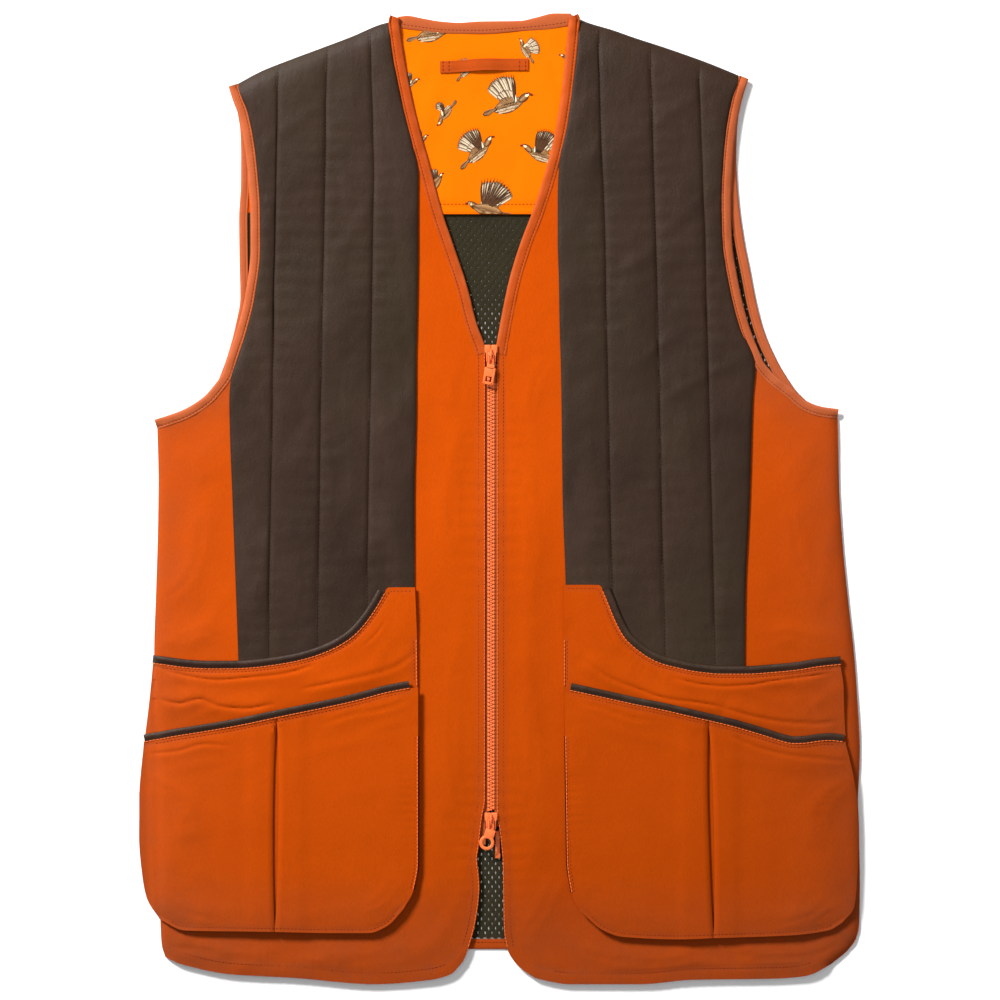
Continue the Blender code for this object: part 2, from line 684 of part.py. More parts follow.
def pocket_front(name, rows, foot, head, slit, panel_top, outer_edge):
    """A pocket front with one inverted pleat: three layers meet at the slit."""
    lines = row_lines(rows, 2)
    count = len(lines)
    turn = 1.2
    deep = PLEAT_DEPTH
    # One row per corner of the pleat: its place from the slit and its layer below the top.
    corners = (
        (-deep - 3.0, 0.0), (-turn, 0.0), (0.0, 0.5), (-turn, 1.0), (1.0 - deep, 1.0),
        (-deep, 1.5), (1.0 - deep, 2.0), (0.0, 2.0), (deep - 1.0, 2.0), (deep, 1.5),
        (deep - 1.0, 1.0), (turn, 1.0), (0.0, 0.5), (turn, 0.0), (deep + 3.0, 0.0),
    )
    way = 1.0 if slit[0].across > rows[0].start_across else -1.0
    share = np.linspace(0, 1, count)
    opening = PLEAT_OPEN * np.sin(math.pi * np.clip(share, 0.02, 0.98)) ** 0.6
    slit_up = (lines[:, 1] + lines[:, 3]) / 2
    slit_across = np.interp(slit_up, [slit[1].up, slit[0].up], [slit[1].across, slit[0].across])
    outer_part = np.array([0.0, 1.5, 4.5, 8.0, 11.0, 14.0, 17.0, 21.0, 27.0, 45.0, 65.0]) / 90.0
    inner_part = np.array([0.25, 0.5, 0.75, 0.93, 1.0])
    first = slit_across + way * corners[0][0]
    last = slit_across + way * corners[-1][0]
    columns = [lines[:, 0] + part * (first - lines[:, 0]) for part in outer_part]
    layers = [np.zeros(count) for part in outer_part]
    for place, layer in corners:
        open_side = math.copysign(1.0, place) if place else 0.0
        columns.append(slit_across + way * (place + open_side * opening * (abs(place) < 2.0)))
        layers.append(np.full(count, layer))
    middle_left = len(outer_part) + 2
    middle_right = len(outer_part) + 12
    columns[middle_left] = slit_across - way * opening
    columns[middle_right] = slit_across + way * opening
    columns += [last + part * (lines[:, 2] - last) for part in inner_part]
    layers += [np.zeros(count) for part in inner_part]
    across = np.stack(columns, axis=1)
    layer = np.stack(layers, axis=1)
    part = (across - lines[:, 0:1]) / (lines[:, 2:3] - lines[:, 0:1])
    up = lines[:, 1:2] * (1 - part) + lines[:, 3:4] * part
    middle = (lines[:, 1] + lines[:, 3]) / 2
    for line, row, length in ((foot, 0, 60.0), (head, -1, 70.0)):
        bend = read_spots(line, across[row]) - (
            lines[row, 1] * (1 - part[row]) + lines[row, 3] * part[row]
        )
        fade = np.clip(1.0 - np.abs(middle - middle[row]) / length, 0.0, 1.0)
        up = up + fade[:, None] * bend[None, :]
    base = pocket_middle(across, up, panel_top, outer_edge, slit)
    height = base - PLEAT_LAYER * layer
    lower, upper = thicken(np.stack([across, up, height], axis=2), 1.0)
    return piece(name, ORANGE, lower, upper)


def pocket_middle(across, up, panel_top, outer_edge, slit):
    """Height of the middle of a pocket front's wall: full at the pleat, low at the sides."""
    from_slit = np.abs(across - slit[0].across)
    near = 1.0 - ease((from_slit - 16.0) / 30.0)
    from_side = away(across, up, outer_edge)
    rise = np.maximum(near, 0.75 * ease((from_side - 2.0) / 40.0))
    return panel_top(across, up) + 0.8 + 2.0 * PLEAT_LAYER * rise + 0.15 * near


def box(name, size, centre, taper=1.0):
    """A block, narrower towards -Y by the taper."""
    bm = bmesh.new()
    bmesh.ops.create_cube(bm, size=1.0)
    for vert in bm.verts:
        narrow = taper if vert.co.y < 0 else 1.0
        vert.co.x = (vert.co.x * size[0] * narrow + centre[0]) * MM
        vert.co.y = (vert.co.y * size[1] + centre[1]) * MM
        vert.co.z = (vert.co.z * size[2] + centre[2]) * MM
    mesh = bpy.data.meshes.new(name)
    bm.to_mesh(mesh)
    bm.free()
    return mesh


def helper(name, mesh):
    obj = bpy.data.objects.new(name, mesh)
    helpers.objects.link(obj)
    obj.hide_render = True
    obj.display_type = "WIRE"
    return obj


def bevel(obj, width, segments=2):
    modifier = obj.modifiers.new("edges", "BEVEL")
    modifier.width = width * MM
    modifier.segments = segments
    modifier.limit_method = "ANGLE"


def join(obj, other, operation="UNION"):
    modifier = obj.modifiers.new(operation.lower(), "BOOLEAN")
    modifier.operation = operation
    modifier.object = other
    modifier.solver = "EXACT"


SLIDER_FOOT = 1.3
SLIDER_PLATE = 5.3
SLIDER_TOP = 6.7
BRIDGE_HALF = 4.2
BRIDGE_RISE = 2.2


def bridge(name, up):
    """The arch on a slider that holds its pull, running along the zip."""
    angles = np.linspace(0, math.pi, 9)
    outer_up = up + (BRIDGE_HALF + 1.1) * np.cos(angles)
    inner_up = up + BRIDGE_HALF * np.cos(angles)
    outer_high = SLIDER_TOP - 0.5 + (BRIDGE_RISE + 1.6) * np.sin(angles) ** 0.8
    inner_high = SLIDER_TOP - 0.5 + (BRIDGE_RISE + 0.5) * np.sin(angles) ** 0.8
    bm = bmesh.new()
    bmesh.ops.create_grid(bm, x_segments=1, y_segments=8, size=0.5)
    grown = bmesh.ops.extrude_face_region(bm, geom=bm.faces[:], use_keep_orig=True)
    top = {item for item in grown["geom"] if isinstance(item, bmesh.types.BMVert)}
    for vert in bm.verts:
        row = round((vert.co.y + 0.5) * 8)
        across = ZIP_MIDDLE + vert.co.x * 1.5
        if vert in top:
            vert.co = (across * MM, outer_up[row] * MM, outer_high[row] * MM)
        else:
            vert.co = (across * MM, inner_up[row] * MM, inner_high[row] * MM)
    bmesh.ops.recalc_face_normals(bm, faces=bm.faces)
    mesh = bpy.data.meshes.new(name)
    bm.to_mesh(mesh)
    bm.free()
    return helper(name, mesh)


def slider(name, top_up, foot_up, core_top_up, hinge_up):
    """A slider: a core between the fronts, a wider plate over it and an arch."""
    middle = (top_up + foot_up) / 2
    plate = box(
        name, (10.4, top_up - foot_up, SLIDER_TOP - SLIDER_PLATE),
        (ZIP_MIDDLE, middle, (SLIDER_TOP + SLIDER_PLATE) / 2), 0.82,
    )
    body = place_object(name, plate, SALMON, 0.45)
    bevel(body, 0.5)
    core_size = (8.2, core_top_up - foot_up - 0.4, SLIDER_PLATE + 0.6 - SLIDER_FOOT)
    core_middle = (core_top_up + foot_up + 0.4) / 2
    core = box(
        name + "_core", core_size,
        (ZIP_MIDDLE, core_middle, (SLIDER_FOOT + SLIDER_PLATE + 0.6) / 2), 0.85,
    )
    join(body, helper(name + "_core", core))
    join(body, bridge(name + "_bridge", hinge_up))
    return body


def outline_spline(curve, points, closed=True):
    spline = curve.splines.new("POLY")
    spline.points.add(len(points) - 1)
    for point, (across, up) in zip(spline.points, points):
        point.co = (across * MM, up * MM, 0.0, 1.0)
    spline.use_cyclic_u = closed


def ring_points(radius_across, radius_up, centre_up, count=24):
    turns = np.linspace(0, 2 * math.pi, count, endpoint=False)
    return [
        (radius_across * math.cos(turn), centre_up + radius_up * math.sin(turn))
        for turn in turns
    ]


def leaning(points, lean):
    """Points below the slot shifted sideways, as the pull was left lying."""
    return [(across + lean * min(up + 7.4, 0.0), up) for across, up in points]


def pull(name, outline, holes, hinge_up):
    """A flat pull cut to an outline, its origin on the hinge."""
    curve = bpy.data.curves.new(name, "CURVE")
    curve.dimensions = "2D"
    curve.fill_mode = "BOTH"
    curve.extrude = 0.6 * MM
    outline_spline(curve, outline)
    for hole in holes:
        outline_spline(curve, hole)
    obj = place_object(name, curve, SALMON, 0.45)
    obj.location = (ZIP_MIDDLE * MM, hinge_up * MM, (SLIDER_TOP + 1.1) * MM)
    return obj


for old in list(bpy.data.objects):
    bpy.data.objects.remove(old)
vest = bpy.data.collections.new("shooting_vest")
bpy.context.scene.collection.children.link(vest)
helpers = bpy.data.collections.new("helpers")
helpers.hide_render = True
bpy.context.scene.collection.children.link(helpers)

# The back: net below, and the yoke with its printed lining above.
flat_piece("back_mesh", OLIVE, NET_BACK, 9, 0.0, NET)
hem_band = sections(
    (-248, -360.8, 262, -360.8),
    (-253, -357.5, 267, -357.5),
    (-255, -352.8, 269, -352.8),
)
flat_piece("back_hem_band", CORAL, hem_band, 5, 0.0, 1.5)
yoke_bends = {"head": YOKE_HEAD, "reach": (90.0, 97.0)}
flat_piece("yoke_outer", ORANGE, YOKE_SECTIONS, 23, 0.0, YOKE, **yoke_bends)
lining_bends = {"head": LINING_HEAD, "reach": (90.0, 97.0)}
lining_rows = YOKE_SECTIONS[:3] + sections((-199, 299, 181, 302), (-200, 306, 182, 310))
flat_piece(
    "yoke_lining", PRINT, lining_rows, 23, YOKE + SEAM_GAP, LINING, **lining_bends
)
neck_places = np.linspace(NECK_TOP[0].across, NECK_TOP[-1].across, 15)
neck_high = read_spots(NECK_TOP, neck_places)
neck_low = read_spots(NECK_FOOT, neck_places)
neck_rows = np.stack([neck_low, (neck_low + neck_high) / 2, neck_high])
neck_across = np.broadcast_to(neck_places, neck_rows.shape)
neck_tops = np.broadcast_to(np.array([[2.3], [2.8], [1.9]]), neck_rows.shape)
piece(
    "back_neck_binding", CORAL, sheet(neck_across, neck_rows, 0.0),
    sheet(neck_across, neck_rows, neck_tops),
)

loop_across = np.linspace(-47.5, 23.0, 13)
loop_mid = 345.2 + 2.0 * ease((loop_across + 47.5) / 40.0)
loop_rows = np.stack([loop_mid - 4.8, loop_mid + 4.8])
loop_rise = 1.8 * ease((23.0 - np.abs(loop_across + 12.25)) / 18.0 - 0.05)
loop_low = np.broadcast_to(YOKE + LINING + 2 * SEAM_GAP + loop_rise, loop_rows.shape)
loop_places = np.broadcast_to(loop_across, loop_rows.shape)
piece(
    "hanger_loop", CORAL, sheet(loop_places, loop_rows, loop_low),
    sheet(loop_places, loop_rows, loop_low + 1.0),
)


def back_low(across, up):
    return np.full(np.shape(across), 0.3)


def back_high(across, up):
    return np.full(np.shape(across), 1.3)


# Both armhole bindings of the back run from the underarm to the shoulder.
for name, line, width in (
    ("right_back_armhole_binding", RIGHT_BACK_ARMHOLE, -BINDING_WIDTH),
    ("left_back_armhole_binding", LEFT_BACK_ARMHOLE, BINDING_WIDTH),
):
    inner_line = moved(line, width)
    strip(name, CORAL, inner_line, -width, back_low, back_high)

front("right_front", RIGHT_FRONT, RIGHT_HEM, RIGHT_SHOULDER)
front("left_front", LEFT_FRONT, LEFT_HEM, LEFT_SHOULDER)
quilted_patch(
    "right_leather_patch", RIGHT_PATCH_ROWS, RIGHT_QUILT, RIGHT_PATCH_FOOT, RIGHT_SHOULDER
)
quilted_patch("left_leather_patch", LEFT_PATCH_ROWS, LEFT_QUILT, LEFT_PATCH_FOOT, LEFT_SHOULDER)

# The bindings of the fronts follow the panels' own edges.
for name, line, width in (
    ("right_armhole_binding", side_of(starts(RIGHT_FRONT), 53, 400), BINDING_WIDTH),
    ("left_armhole_binding", side_of(starts(LEFT_FRONT), 52, 400), -BINDING_WIDTH),
    ("right_neck_binding", side_of(ends(RIGHT_FRONT), 118, 400), -BINDING_WIDTH),
    ("left_neck_binding", side_of(ends(LEFT_FRONT), 118, 400), BINDING_WIDTH),
):
    strip(name, CORAL, line, width, front_under, front_top)

for side, panel_rows, foot, top_line, front_side in (
    ("right", RIGHT_PANEL, RIGHT_POCKET_FOOT, RIGHT_POCKET_TOP, RIGHT_SIDE),
    ("left", LEFT_PANEL, LEFT_POCKET_FOOT, LEFT_POCKET_TOP, LEFT_SIDE),
):
    right = side == "right"
    head = panel_head(top_line, Spot(panel_rows[-1].end_across, panel_rows[-1].end_up))

    def under(across, up):
        return panel_under(across, up, front_side, head)

    def top(across, up):
        return panel_under(across, up, front_side, head) + CLOTH

    shares = panel_shares(row_lines(panel_rows, 1), head)
    across, up = spread(panel_rows, shares, foot=foot, head=head, reach=(60.0, 110.0))
    low = under(across, up)
    piece(f"{side}_pocket_panel", ORANGE, sheet(across, up, low), sheet(across, up, low + CLOTH))
    width = -TRIM_WIDTH - 0.6 if right else TRIM_WIDTH + 0.6
    lowest = moved(top_line, width)
    strip(f"{side}_pocket_top_trim", BROWN, lowest, -width, under, top, roughness=0.55)

    slit = spots((-178, -179), (-179.5, -344.5)) if right else spots((167, -179), (171.5, -350))
    rows, foot, head = (
        (RIGHT_POCKET, RIGHT_POCKET_FOOT, RIGHT_POCKET_HEAD)
        if right
        else (LEFT_POCKET, LEFT_POCKET_FOOT, LEFT_POCKET_HEAD)
    )
    outer_edge = starts(panel_rows)
    pocket_front(f"{side}_pocket_front", rows, foot, head, slit, top, outer_edge)

    def mouth_low(across, up):
        return pocket_middle(across, up, top, outer_edge, slit) - 0.4

    def mouth_high(across, up):
        return pocket_middle(across, up, top, outer_edge, slit) + 0.5

    mouth = RIGHT_MOUTH if right else LEFT_MOUTH
    width = -TRIM_WIDTH if right else TRIM_WIDTH
    lowest = moved(mouth, width)
    strip(f"{side}_mouth_trim", BROWN, lowest, -width, mouth_low, mouth_high, roughness=0.55)

# The zip: tapes under the fronts, the closed chain between them, sliders and pulls.
CHAIN_HALF = 2.8
TAPE_LOW = 1.4
for name, side, foot_up in (("right_zip_tape", -1.0, -277.0), ("left_zip_tape", 1.0, -262.5)):
    outer = ZIP_MIDDLE + side * 15.0
    by_slider = ZIP_MIDDLE + side * (CHAIN_HALF + 1.6)
    by_chain = ZIP_MIDDLE + side * (CHAIN_HALF + SEAM_GAP)
    tape_rows = sections(
        (outer, foot_up, by_slider, foot_up),
        (outer, -250.8, by_slider, -250.8),
        (outer, -250.0, by_chain, -250.0),
        (outer, -100, by_chain, -100),
        (outer, 106.0, by_chain, 106.0),
        (outer, 106.8, by_slider, 106.8),
        (outer, 118.0, by_slider, 118.0),
    )
    flat_piece(name, CORAL, tape_rows, 3, TAPE_LOW, 1.0)
chain = box(
    "zip_chain", (2 * CHAIN_HALF, 357.0, 2.7), (ZIP_MIDDLE, -71.9, 2.65)
)
bevel(place_object("zip_chain", chain, SALMON, 0.5), 0.4)

TOP_HINGE = 114.5
BOTTOM_HINGE = -257.0
slider("top_slider", 123.0, 107.0, 118.0, TOP_HINGE)
slider("bottom_slider", -251.0, -266.0, -251.0, BOTTOM_HINGE)
tab = [
    (-2.3, 0.7), (2.3, 0.7), (2.6, -6.5), (4.3, -10.5), (4.3, -21.5), (3.4, -23.5),
    (-3.4, -23.5), (-4.3, -21.5), (-4.3, -10.5), (-2.6, -6.5),
]
tab_slot = [(-1.15, -0.7), (1.15, -0.7), (1.15, -7.4), (-1.15, -7.4)]
tab_window = [(-1.4, -17.6), (1.4, -17.6), (1.4, -20.8), (-1.4, -20.8)]
pull("top_pull_tab", leaning(tab, 0.17), [tab_slot, leaning(tab_window, 0.17)], TOP_HINGE)
stem = [(-2.3, -13.0), (-2.3, 0.7), (2.3, 0.7), (2.3, -13.0)]
arc = np.linspace(math.radians(65), math.radians(-245), 22)
ring = [(6.0 * math.cos(turn), -18.5 + 6.0 * math.sin(turn)) for turn in arc]
ring_hole = ring_points(3.2, 3.2, -18.5)
pull("bottom_pull_ring", leaning(stem + ring, 0.32), [tab_slot, leaning(ring_hole, 0.32)], BOTTOM_HINGE)

pin = box("zip_pin", (3.6, 22.0, 1.3), (-1.5, -277.0, 1.95), 0.8)
bevel(place_object("zip_pin", pin, SALMON, 0.45), 0.3)
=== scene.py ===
"""A shooting vest laid flat on its back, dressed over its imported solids.

The neck is at +Y and the wearer's right is at -X. Tables are in millimetres, measured
from the middle of the outline on the surface the vest lies on, and meshes are in metres.
"""

import logging
import math
from dataclasses import dataclass, field
from enum import Enum
from typing import Callable, NamedTuple, Optional, Sequence

import bpy
import numpy as np
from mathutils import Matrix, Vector


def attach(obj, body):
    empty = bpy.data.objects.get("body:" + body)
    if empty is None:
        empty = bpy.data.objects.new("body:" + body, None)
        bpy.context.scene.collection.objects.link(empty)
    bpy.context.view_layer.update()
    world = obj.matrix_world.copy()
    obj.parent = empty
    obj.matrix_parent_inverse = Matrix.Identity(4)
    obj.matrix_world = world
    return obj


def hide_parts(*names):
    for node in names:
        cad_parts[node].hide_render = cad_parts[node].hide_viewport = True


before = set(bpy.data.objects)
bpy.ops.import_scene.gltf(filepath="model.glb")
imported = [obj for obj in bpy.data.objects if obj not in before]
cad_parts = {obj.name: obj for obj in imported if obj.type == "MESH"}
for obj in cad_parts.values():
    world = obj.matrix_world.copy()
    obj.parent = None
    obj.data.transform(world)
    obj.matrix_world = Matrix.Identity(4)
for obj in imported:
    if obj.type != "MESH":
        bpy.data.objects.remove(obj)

Array = np.ndarray
Height = Callable[[Array, Array], Array]
Triple = tuple[float, float, float]
Colour = Triple
Piece = bpy.types.Object
Shape = tuple[Array, list[list[int]]]
Material = bpy.types.Material
Socket = bpy.types.NodeSocket

MM = 0.001
SEAM_GAP = 0.3
YOKE = 1.0
LINING = 1.0
CLOTH = 1.2
LEATHER = 1.2
BINDING_WIDTH = 8.0
TRIM_WIDTH = 5.6
FRONT_HEIGHT = 2.9
FOLD_REACH = 3.5
SHOULDER_DROP = 2.8
QUILT_PUFF = 0.9
ZIP_MIDDLE = -6.75
PLEAT_DEPTH = 12.0
PLEAT_LAYER = 1.5
PLEAT_OPEN = 2.7
# Heights of the yoke's lower seam, of the stitches above it and of those along the hem band.
YOKE_SEAM = 229.0
LINING_STITCHES = 235.5
HEM_STITCHES = -355.2
# At a scale of 1 a wave texture repeats every this many metres.
WAVE = 0.314

log = logging.getLogger("vest")


class Section(NamedTuple):
    """Both ends of one section across a piece."""

    start_across: float
    start_up: float
    end_across: float
    end_up: float


class Spot(NamedTuple):
    """One point of a free line."""

    across: float
    up: float


Line = Sequence[Spot]


class Quilt(NamedTuple):
    """One height of a quilted patch: its two edges and its three seams."""

    up: float
    outer: float
    seam_1: float
    seam_2: float
    seam_3: float
    inner: float


class Furrow(NamedTuple):
    """A long dip of the cloth between two soft shoulders, along a line."""

    half: float
    height: float
    line: list[Spot]


class Crease(NamedTuple):
    """One long low swelling of the cloth: where it lies, which way it runs and its size."""

    across: float
    up: float
    turn: float
    length: float
    width: float
    height: float


def sections(*rows: tuple[float, ...]) -> list[Section]:
    """Rows of numbers as sections."""
    return [Section(*row) for row in rows]


def spots(*rows: tuple[float, float]) -> list[Spot]:
    """Pairs of numbers as the spots of a line."""
    return [Spot(*row) for row in rows]


def crease_rows(*rows: tuple[float, ...]) -> list[Crease]:
    """Rows of numbers as creases."""
    return [Crease(*row) for row in rows]


def quilt_rows(*rows: tuple[float, ...]) -> list[Quilt]:
    """Rows of numbers as the heights of a quilted patch."""
    return [Quilt(*row) for row in rows]


RIGHT_FRONT = sections((-267.5, -367, -29, -370), (-270.5, -356.5, -24.5, -359), (-271.5, -339, -19, -338),
    (-273, -305, -16, -310), (-273.5, -285, -18, -288), (-273.7, -277, -16.9, -281),
    (-273.8, -270, -15.8, -271), (-274, -254, -13.6, -253), (-274, -246, -11.6, -245),
    (-274, -235, -11.5, -235), (-275.5, -177, -11.5, -177), (-276.5, -125, -11.5, -125),
    (-275, -75, -11.5, -75), (-273.5, -25, -11.5, -25), (-273, 15, -11.5, 15), (-274, 56.2, -11.5, 52),
    (-262, 60, -11.5, 60), (-249, 65, -11.5, 69), (-231.5, 76.3, -11.5, 80), (-222, 87, -11.5, 92),
    (-215, 97, -11.5, 102), (-210.5, 111, -11.5, 117), (-208.5, 117, -19, 119.5), (-203, 134, -26.5, 140),
    (-196.5, 161, -33, 166), (-192, 199.5, -44, 199), (-192.2, 231, -54, 229), (-194, 258, -64, 266),
    (-196.8, 283, -72.5, 297), (-202, 308.5, -80, 330), (-206.6, 321, -85, 358), (-208.6, 327.4, -86.9, 372),
    (-209.4, 330, -87.6, 377.3), (-210, 331.8, -88, 381.5))
LEFT_FRONT = sections((265, -373, 28.5, -383.5), (279.5, -361, 14, -373), (286, -351, 6, -359.5),
    (288, -339.5, 3.5, -343), (288.5, -310, 3, -310), (288.3, -290, 2.6, -290), (288, -278, 1.8, -280.5),
    (287.9, -266, 0.4, -267), (287.5, -254, -1.8, -252), (287, -240, -2, -240), (288.5, -201, -2, -201),
    (286, -153, -2, -153), (283.5, -121, -2, -121), (279.5, -85, -2, -85), (275, -40, -2, -40),
    (272, 5, -2, 5), (270.5, 64.5, -2, 51), (257, 66.3, -2, 60), (243, 71.3, -2, 69), (230.8, 81.4, -2, 81),
    (215.5, 93.5, -2, 95), (205, 106, -2, 117), (203.2, 110, 5, 119.5), (191.8, 139.5, 9, 142),
    (183.8, 173, 15.5, 173), (178.8, 207, 24, 201), (178, 239, 35, 230), (179.6, 271, 45, 262),
    (182, 295, 52.5, 293), (185.6, 315, 57.5, 324.5), (188.5, 326, 61, 358), (190.7, 333, 62.6, 374),
    (191.8, 336, 63.1, 379.3), (192.7, 338.2, 63.5, 383.5))
RIGHT_HEM = spots((-267.5, -367), (-252.5, -373), (-215.5, -380.5), (-163.5, -383.5), (-99.5, -388.5),
    (-55, -385), (-39, -380.5), (-29, -370))
LEFT_HEM = spots((28.5, -383.5), (43.5, -387), (55.5, -388.5), (112.5, -388.5), (154, -385), (221, -384),
    (244.5, -382), (265, -373))
RIGHT_SHOULDER = spots((-210, 331.8), (-191, 342), (-168.5, 351), (-143, 360.5), (-118, 370), (-95.5, 379.5),
    (-88, 381.5))
LEFT_SHOULDER = spots((63.5, 383.5), (75.5, 379.5), (91, 375), (105, 370), (134, 360.5), (161, 351),
    (174, 346), (192.7, 338.2))
NET_BACK = sections((-266, -352.5, 281, -352.5), (-268.5, -330, 284, -330), (-270, -280, 284, -280),
    (-271, -200, 284, -200), (-272.5, -125, 279.5, -125), (-271, -60, 273, -60), (-269.5, 0, 267.5, 0),
    (-270, 50, 266.5, 50), (-250, 58, 250, 59), (-233, 67, 240, 71), (-224, 80, 235, 84),
    (-216, 106, 222, 107.6), (-208, 136, 209.4, 138.2), (-204.4, 165, 201, 170.3), (-205, 196, 195.4, 201.8),
    (-205.6, 228.7, 190.5, 228.7))
YOKE_SECTIONS = sections((-203, 229, 189, 229), (-201.5, 262, 186.5, 262), (-202, 290, 186, 292),
    (-202, 310, 187, 313), (-203, 322, 187, 326))
YOKE_HEAD = spots((-203, 322), (-168, 341), (-130, 357), (-95, 370), (-62, 374.9), (-47.5, 373.2),
    (-33, 372.8), (-15.5, 372.8), (16.5, 374.7), (34, 376.2), (65, 371.5), (105, 359.5), (134, 350),
    (161, 340), (187, 326))
LINING_HEAD = spots((-201, 306), (-168, 327), (-130, 343), (-100, 356), (-90, 364), (-84, 375), (-80, 379),
    (-62, 377), (-47.5, 373.2), (-33, 372.8), (-15.5, 372.8), (16.5, 374.7), (34, 376.2), (53, 379.4),
    (59, 379.4), (66, 364), (75, 357), (105, 346), (134, 336), (161, 326), (185, 310))
NECK_TOP = spots((-81.5, 385.6), (-74, 386.6), (-62, 384.5), (-47.5, 382), (-33, 381), (-15.5, 382),
    (16.5, 382.5), (28.5, 385), (44.5, 388.5), (57.5, 388.4))
NECK_FOOT = spots((-81.5, 378.6), (-62, 376), (-47.5, 374), (-33, 373.5), (-15.5, 373.5), (16.5, 375.5),
    (34, 377), (57.5, 380.4))
RIGHT_BACK_ARMHOLE = spots((-225, 95), (-218, 114), (-211.2, 139.5), (-207.6, 161), (-208.2, 190),
    (-208.6, 225), (-207.2, 250), (-207, 273), (-207.6, 294), (-210.2, 311))
LEFT_BACK_ARMHOLE = spots((259, 70), (251, 74), (245.2, 78.8), (237.2, 86.8), (231.6, 94.8), (222, 110.8),
    (211.6, 134.8), (205.2, 158.8), (200.6, 182.8), (195.8, 206.8), (191.8, 235), (190.2, 255), (189.6, 273),
    (190.2, 294), (192.2, 313), (194.6, 325))
RIGHT_QUILT = quilt_rows((-139, -209, -185, -146.5, -106, -67.5), (-81, -211, -184.5, -145.5, -106, -67.5),
    (-1, -214, -183, -144, -105, -67.5), (79, -216.5, -181.5, -143, -103.5, -66),
    (97, -215, -181.5, -142.5, -103, -66), (111, -210.5, -181, -142.5, -103, -66),
    (134, -203, -180.5, -142, -102.5, -65.5), (161, -196.5, -180.5, -141.5, -102, -65),
    (199.5, -192, -179.5, -140.5, -101.5, -64.5), (231, -192.2, -179, -140, -101, -64.5),
    (258, -194, -178.5, -139.5, -100.5, -64.3), (283, -196.8, -178, -139, -101, -69),
    (308.5, -202, -177.5, -139, -101.5, -75.5), (331, -209.8, -177.5, -138.5, -102.5, -80.2),
    (355, -210, -177, -138, -103, -85), (381.5, -210, -177, -138, -103.5, -88))
LEFT_QUILT = quilt_rows((-139, 196.5, 172.5, 132.5, 90, 52.5), (-81, 197, 171.5, 131.5, 90, 52.5),
    (-1, 200.5, 169.5, 129.5, 88.5, 50), (79, 203, 167.5, 128, 87, 49), (106, 205, 167, 127.5, 86.5, 48.5),
    (139.5, 191.8, 166, 126.5, 85.5, 47.5), (173, 183.8, 165, 126, 85, 47),
    (207, 178.8, 164.5, 125, 84.5, 46), (239, 178, 163, 124, 83.5, 46), (271, 179.6, 162, 123, 82, 47.5),
    (295, 182, 161, 122.5, 81, 53), (315, 185.6, 160.5, 122, 80.5, 56), (335, 191.6, 159.5, 121, 80, 58.5),
    (359.5, 192.7, 159.5, 120.5, 79, 61.5), (383.5, 192.7, 159.5, 120.5, 79, 63.5))
RIGHT_PATCH_ROWS = sections((-209, -147, -67.5, -84), (-210, -115, -67.5, -60), (-212, -75, -67.5, -30),
    (-213, -30, -67.5, 10), (-215, 25, -67, 50), (-216, 79, -66, 88), (-215, 97, -66, 105),
    (-210.5, 111, -66, 120), (-203, 134, -65.5, 145), (-196.5, 161, -65, 172), (-192, 199.5, -64.5, 205),
    (-192.2, 231, -64.5, 235), (-194, 258, -64.3, 266), (-196.8, 283, -72, 296), (-202, 308.5, -77, 335),
    (-206.2, 319.5, -84, 358), (-208.4, 326.5, -86.7, 370.5), (-209.4, 330, -87.7, 377.5),
    (-210, 331.8, -88, 381.5))
LEFT_PATCH_ROWS = sections((196.5, -152, 52.5, -84), (197, -110, 52.5, -55), (199, -60, 51, -20),
    (200.5, -10, 50, 20), (202, 40, 49, 55), (203, 79, 48.7, 88), (205, 106, 48.5, 112),
    (191.8, 139.5, 47.5, 145), (183.8, 173, 47, 176), (178.8, 207, 46, 207), (178, 239, 46, 239),
    (179.6, 271, 47.5, 271), (182, 295, 53.5, 299), (185.6, 315, 57.5, 335), (188.6, 326, 60.5, 358),
    (190.7, 332.5, 62.3, 372), (192, 336.3, 63.2, 379.7), (192.7, 338.2, 63.5, 383.5))
RIGHT_POCKET_TOP = spots((-277, -125.2), (-264, -126.8), (-248.2, -128.8), (-232.3, -129.6), (-216.5, -129.6),
    (-200.7, -129), (-184.9, -127.3), (-169.1, -124.8), (-158, -122.4), (-146.9, -119), (-137.4, -115.2),
    (-127.9, -110.2), (-120, -104.4), (-113.7, -97.7), (-107.4, -89.4), (-101.8, -80.6), (-97.4, -72.6))
LEFT_POCKET_TOP = spots((272.5, -126), (254.8, -127.8), (235.6, -130.8), (216.4, -132.6), (197.2, -133.8),
    (178, -133.8), (159.5, -132.2), (141, -128.4), (131.8, -126), (123, -122), (114, -115.8), (106, -108.6),
    (101, -100.6), (96.6, -91.2), (92.4, -80.6), (88.6, -71.6))
RIGHT_PANEL = sections((-271.5, -336.5, -76.5, -327.5), (-282.5, -319, -68.5, -312.5),
    (-286, -301, -65, -291), (-288.5, -270, -65, -262), (-288.5, -240, -65, -232), (-286, -208, -65, -203),
    (-284, -191.5, -65, -183), (-281, -168, -65.5, -150), (-279, -150, -66, -113),
    (-277.3, -131.5, -67.5, -71))
LEFT_PANEL = sections((274, -339, 65, -330), (283.5, -326, 57.5, -315), (286, -301, 54, -291),
    (287, -270, 53.5, -262), (286, -245, 53, -232), (283, -224.5, 52.5, -203), (277.5, -200, 52, -183),
    (275.5, -170, 51.5, -150), (274.8, -150, 51.5, -113), (272.3, -133.5, 51.5, -69))
RIGHT_POCKET_FOOT = spots((-271.5, -336.5), (-251.5, -345), (-179.5, -346), (-135.5, -347), (-104.5, -347),
    (-89, -341), (-76.5, -327.5))
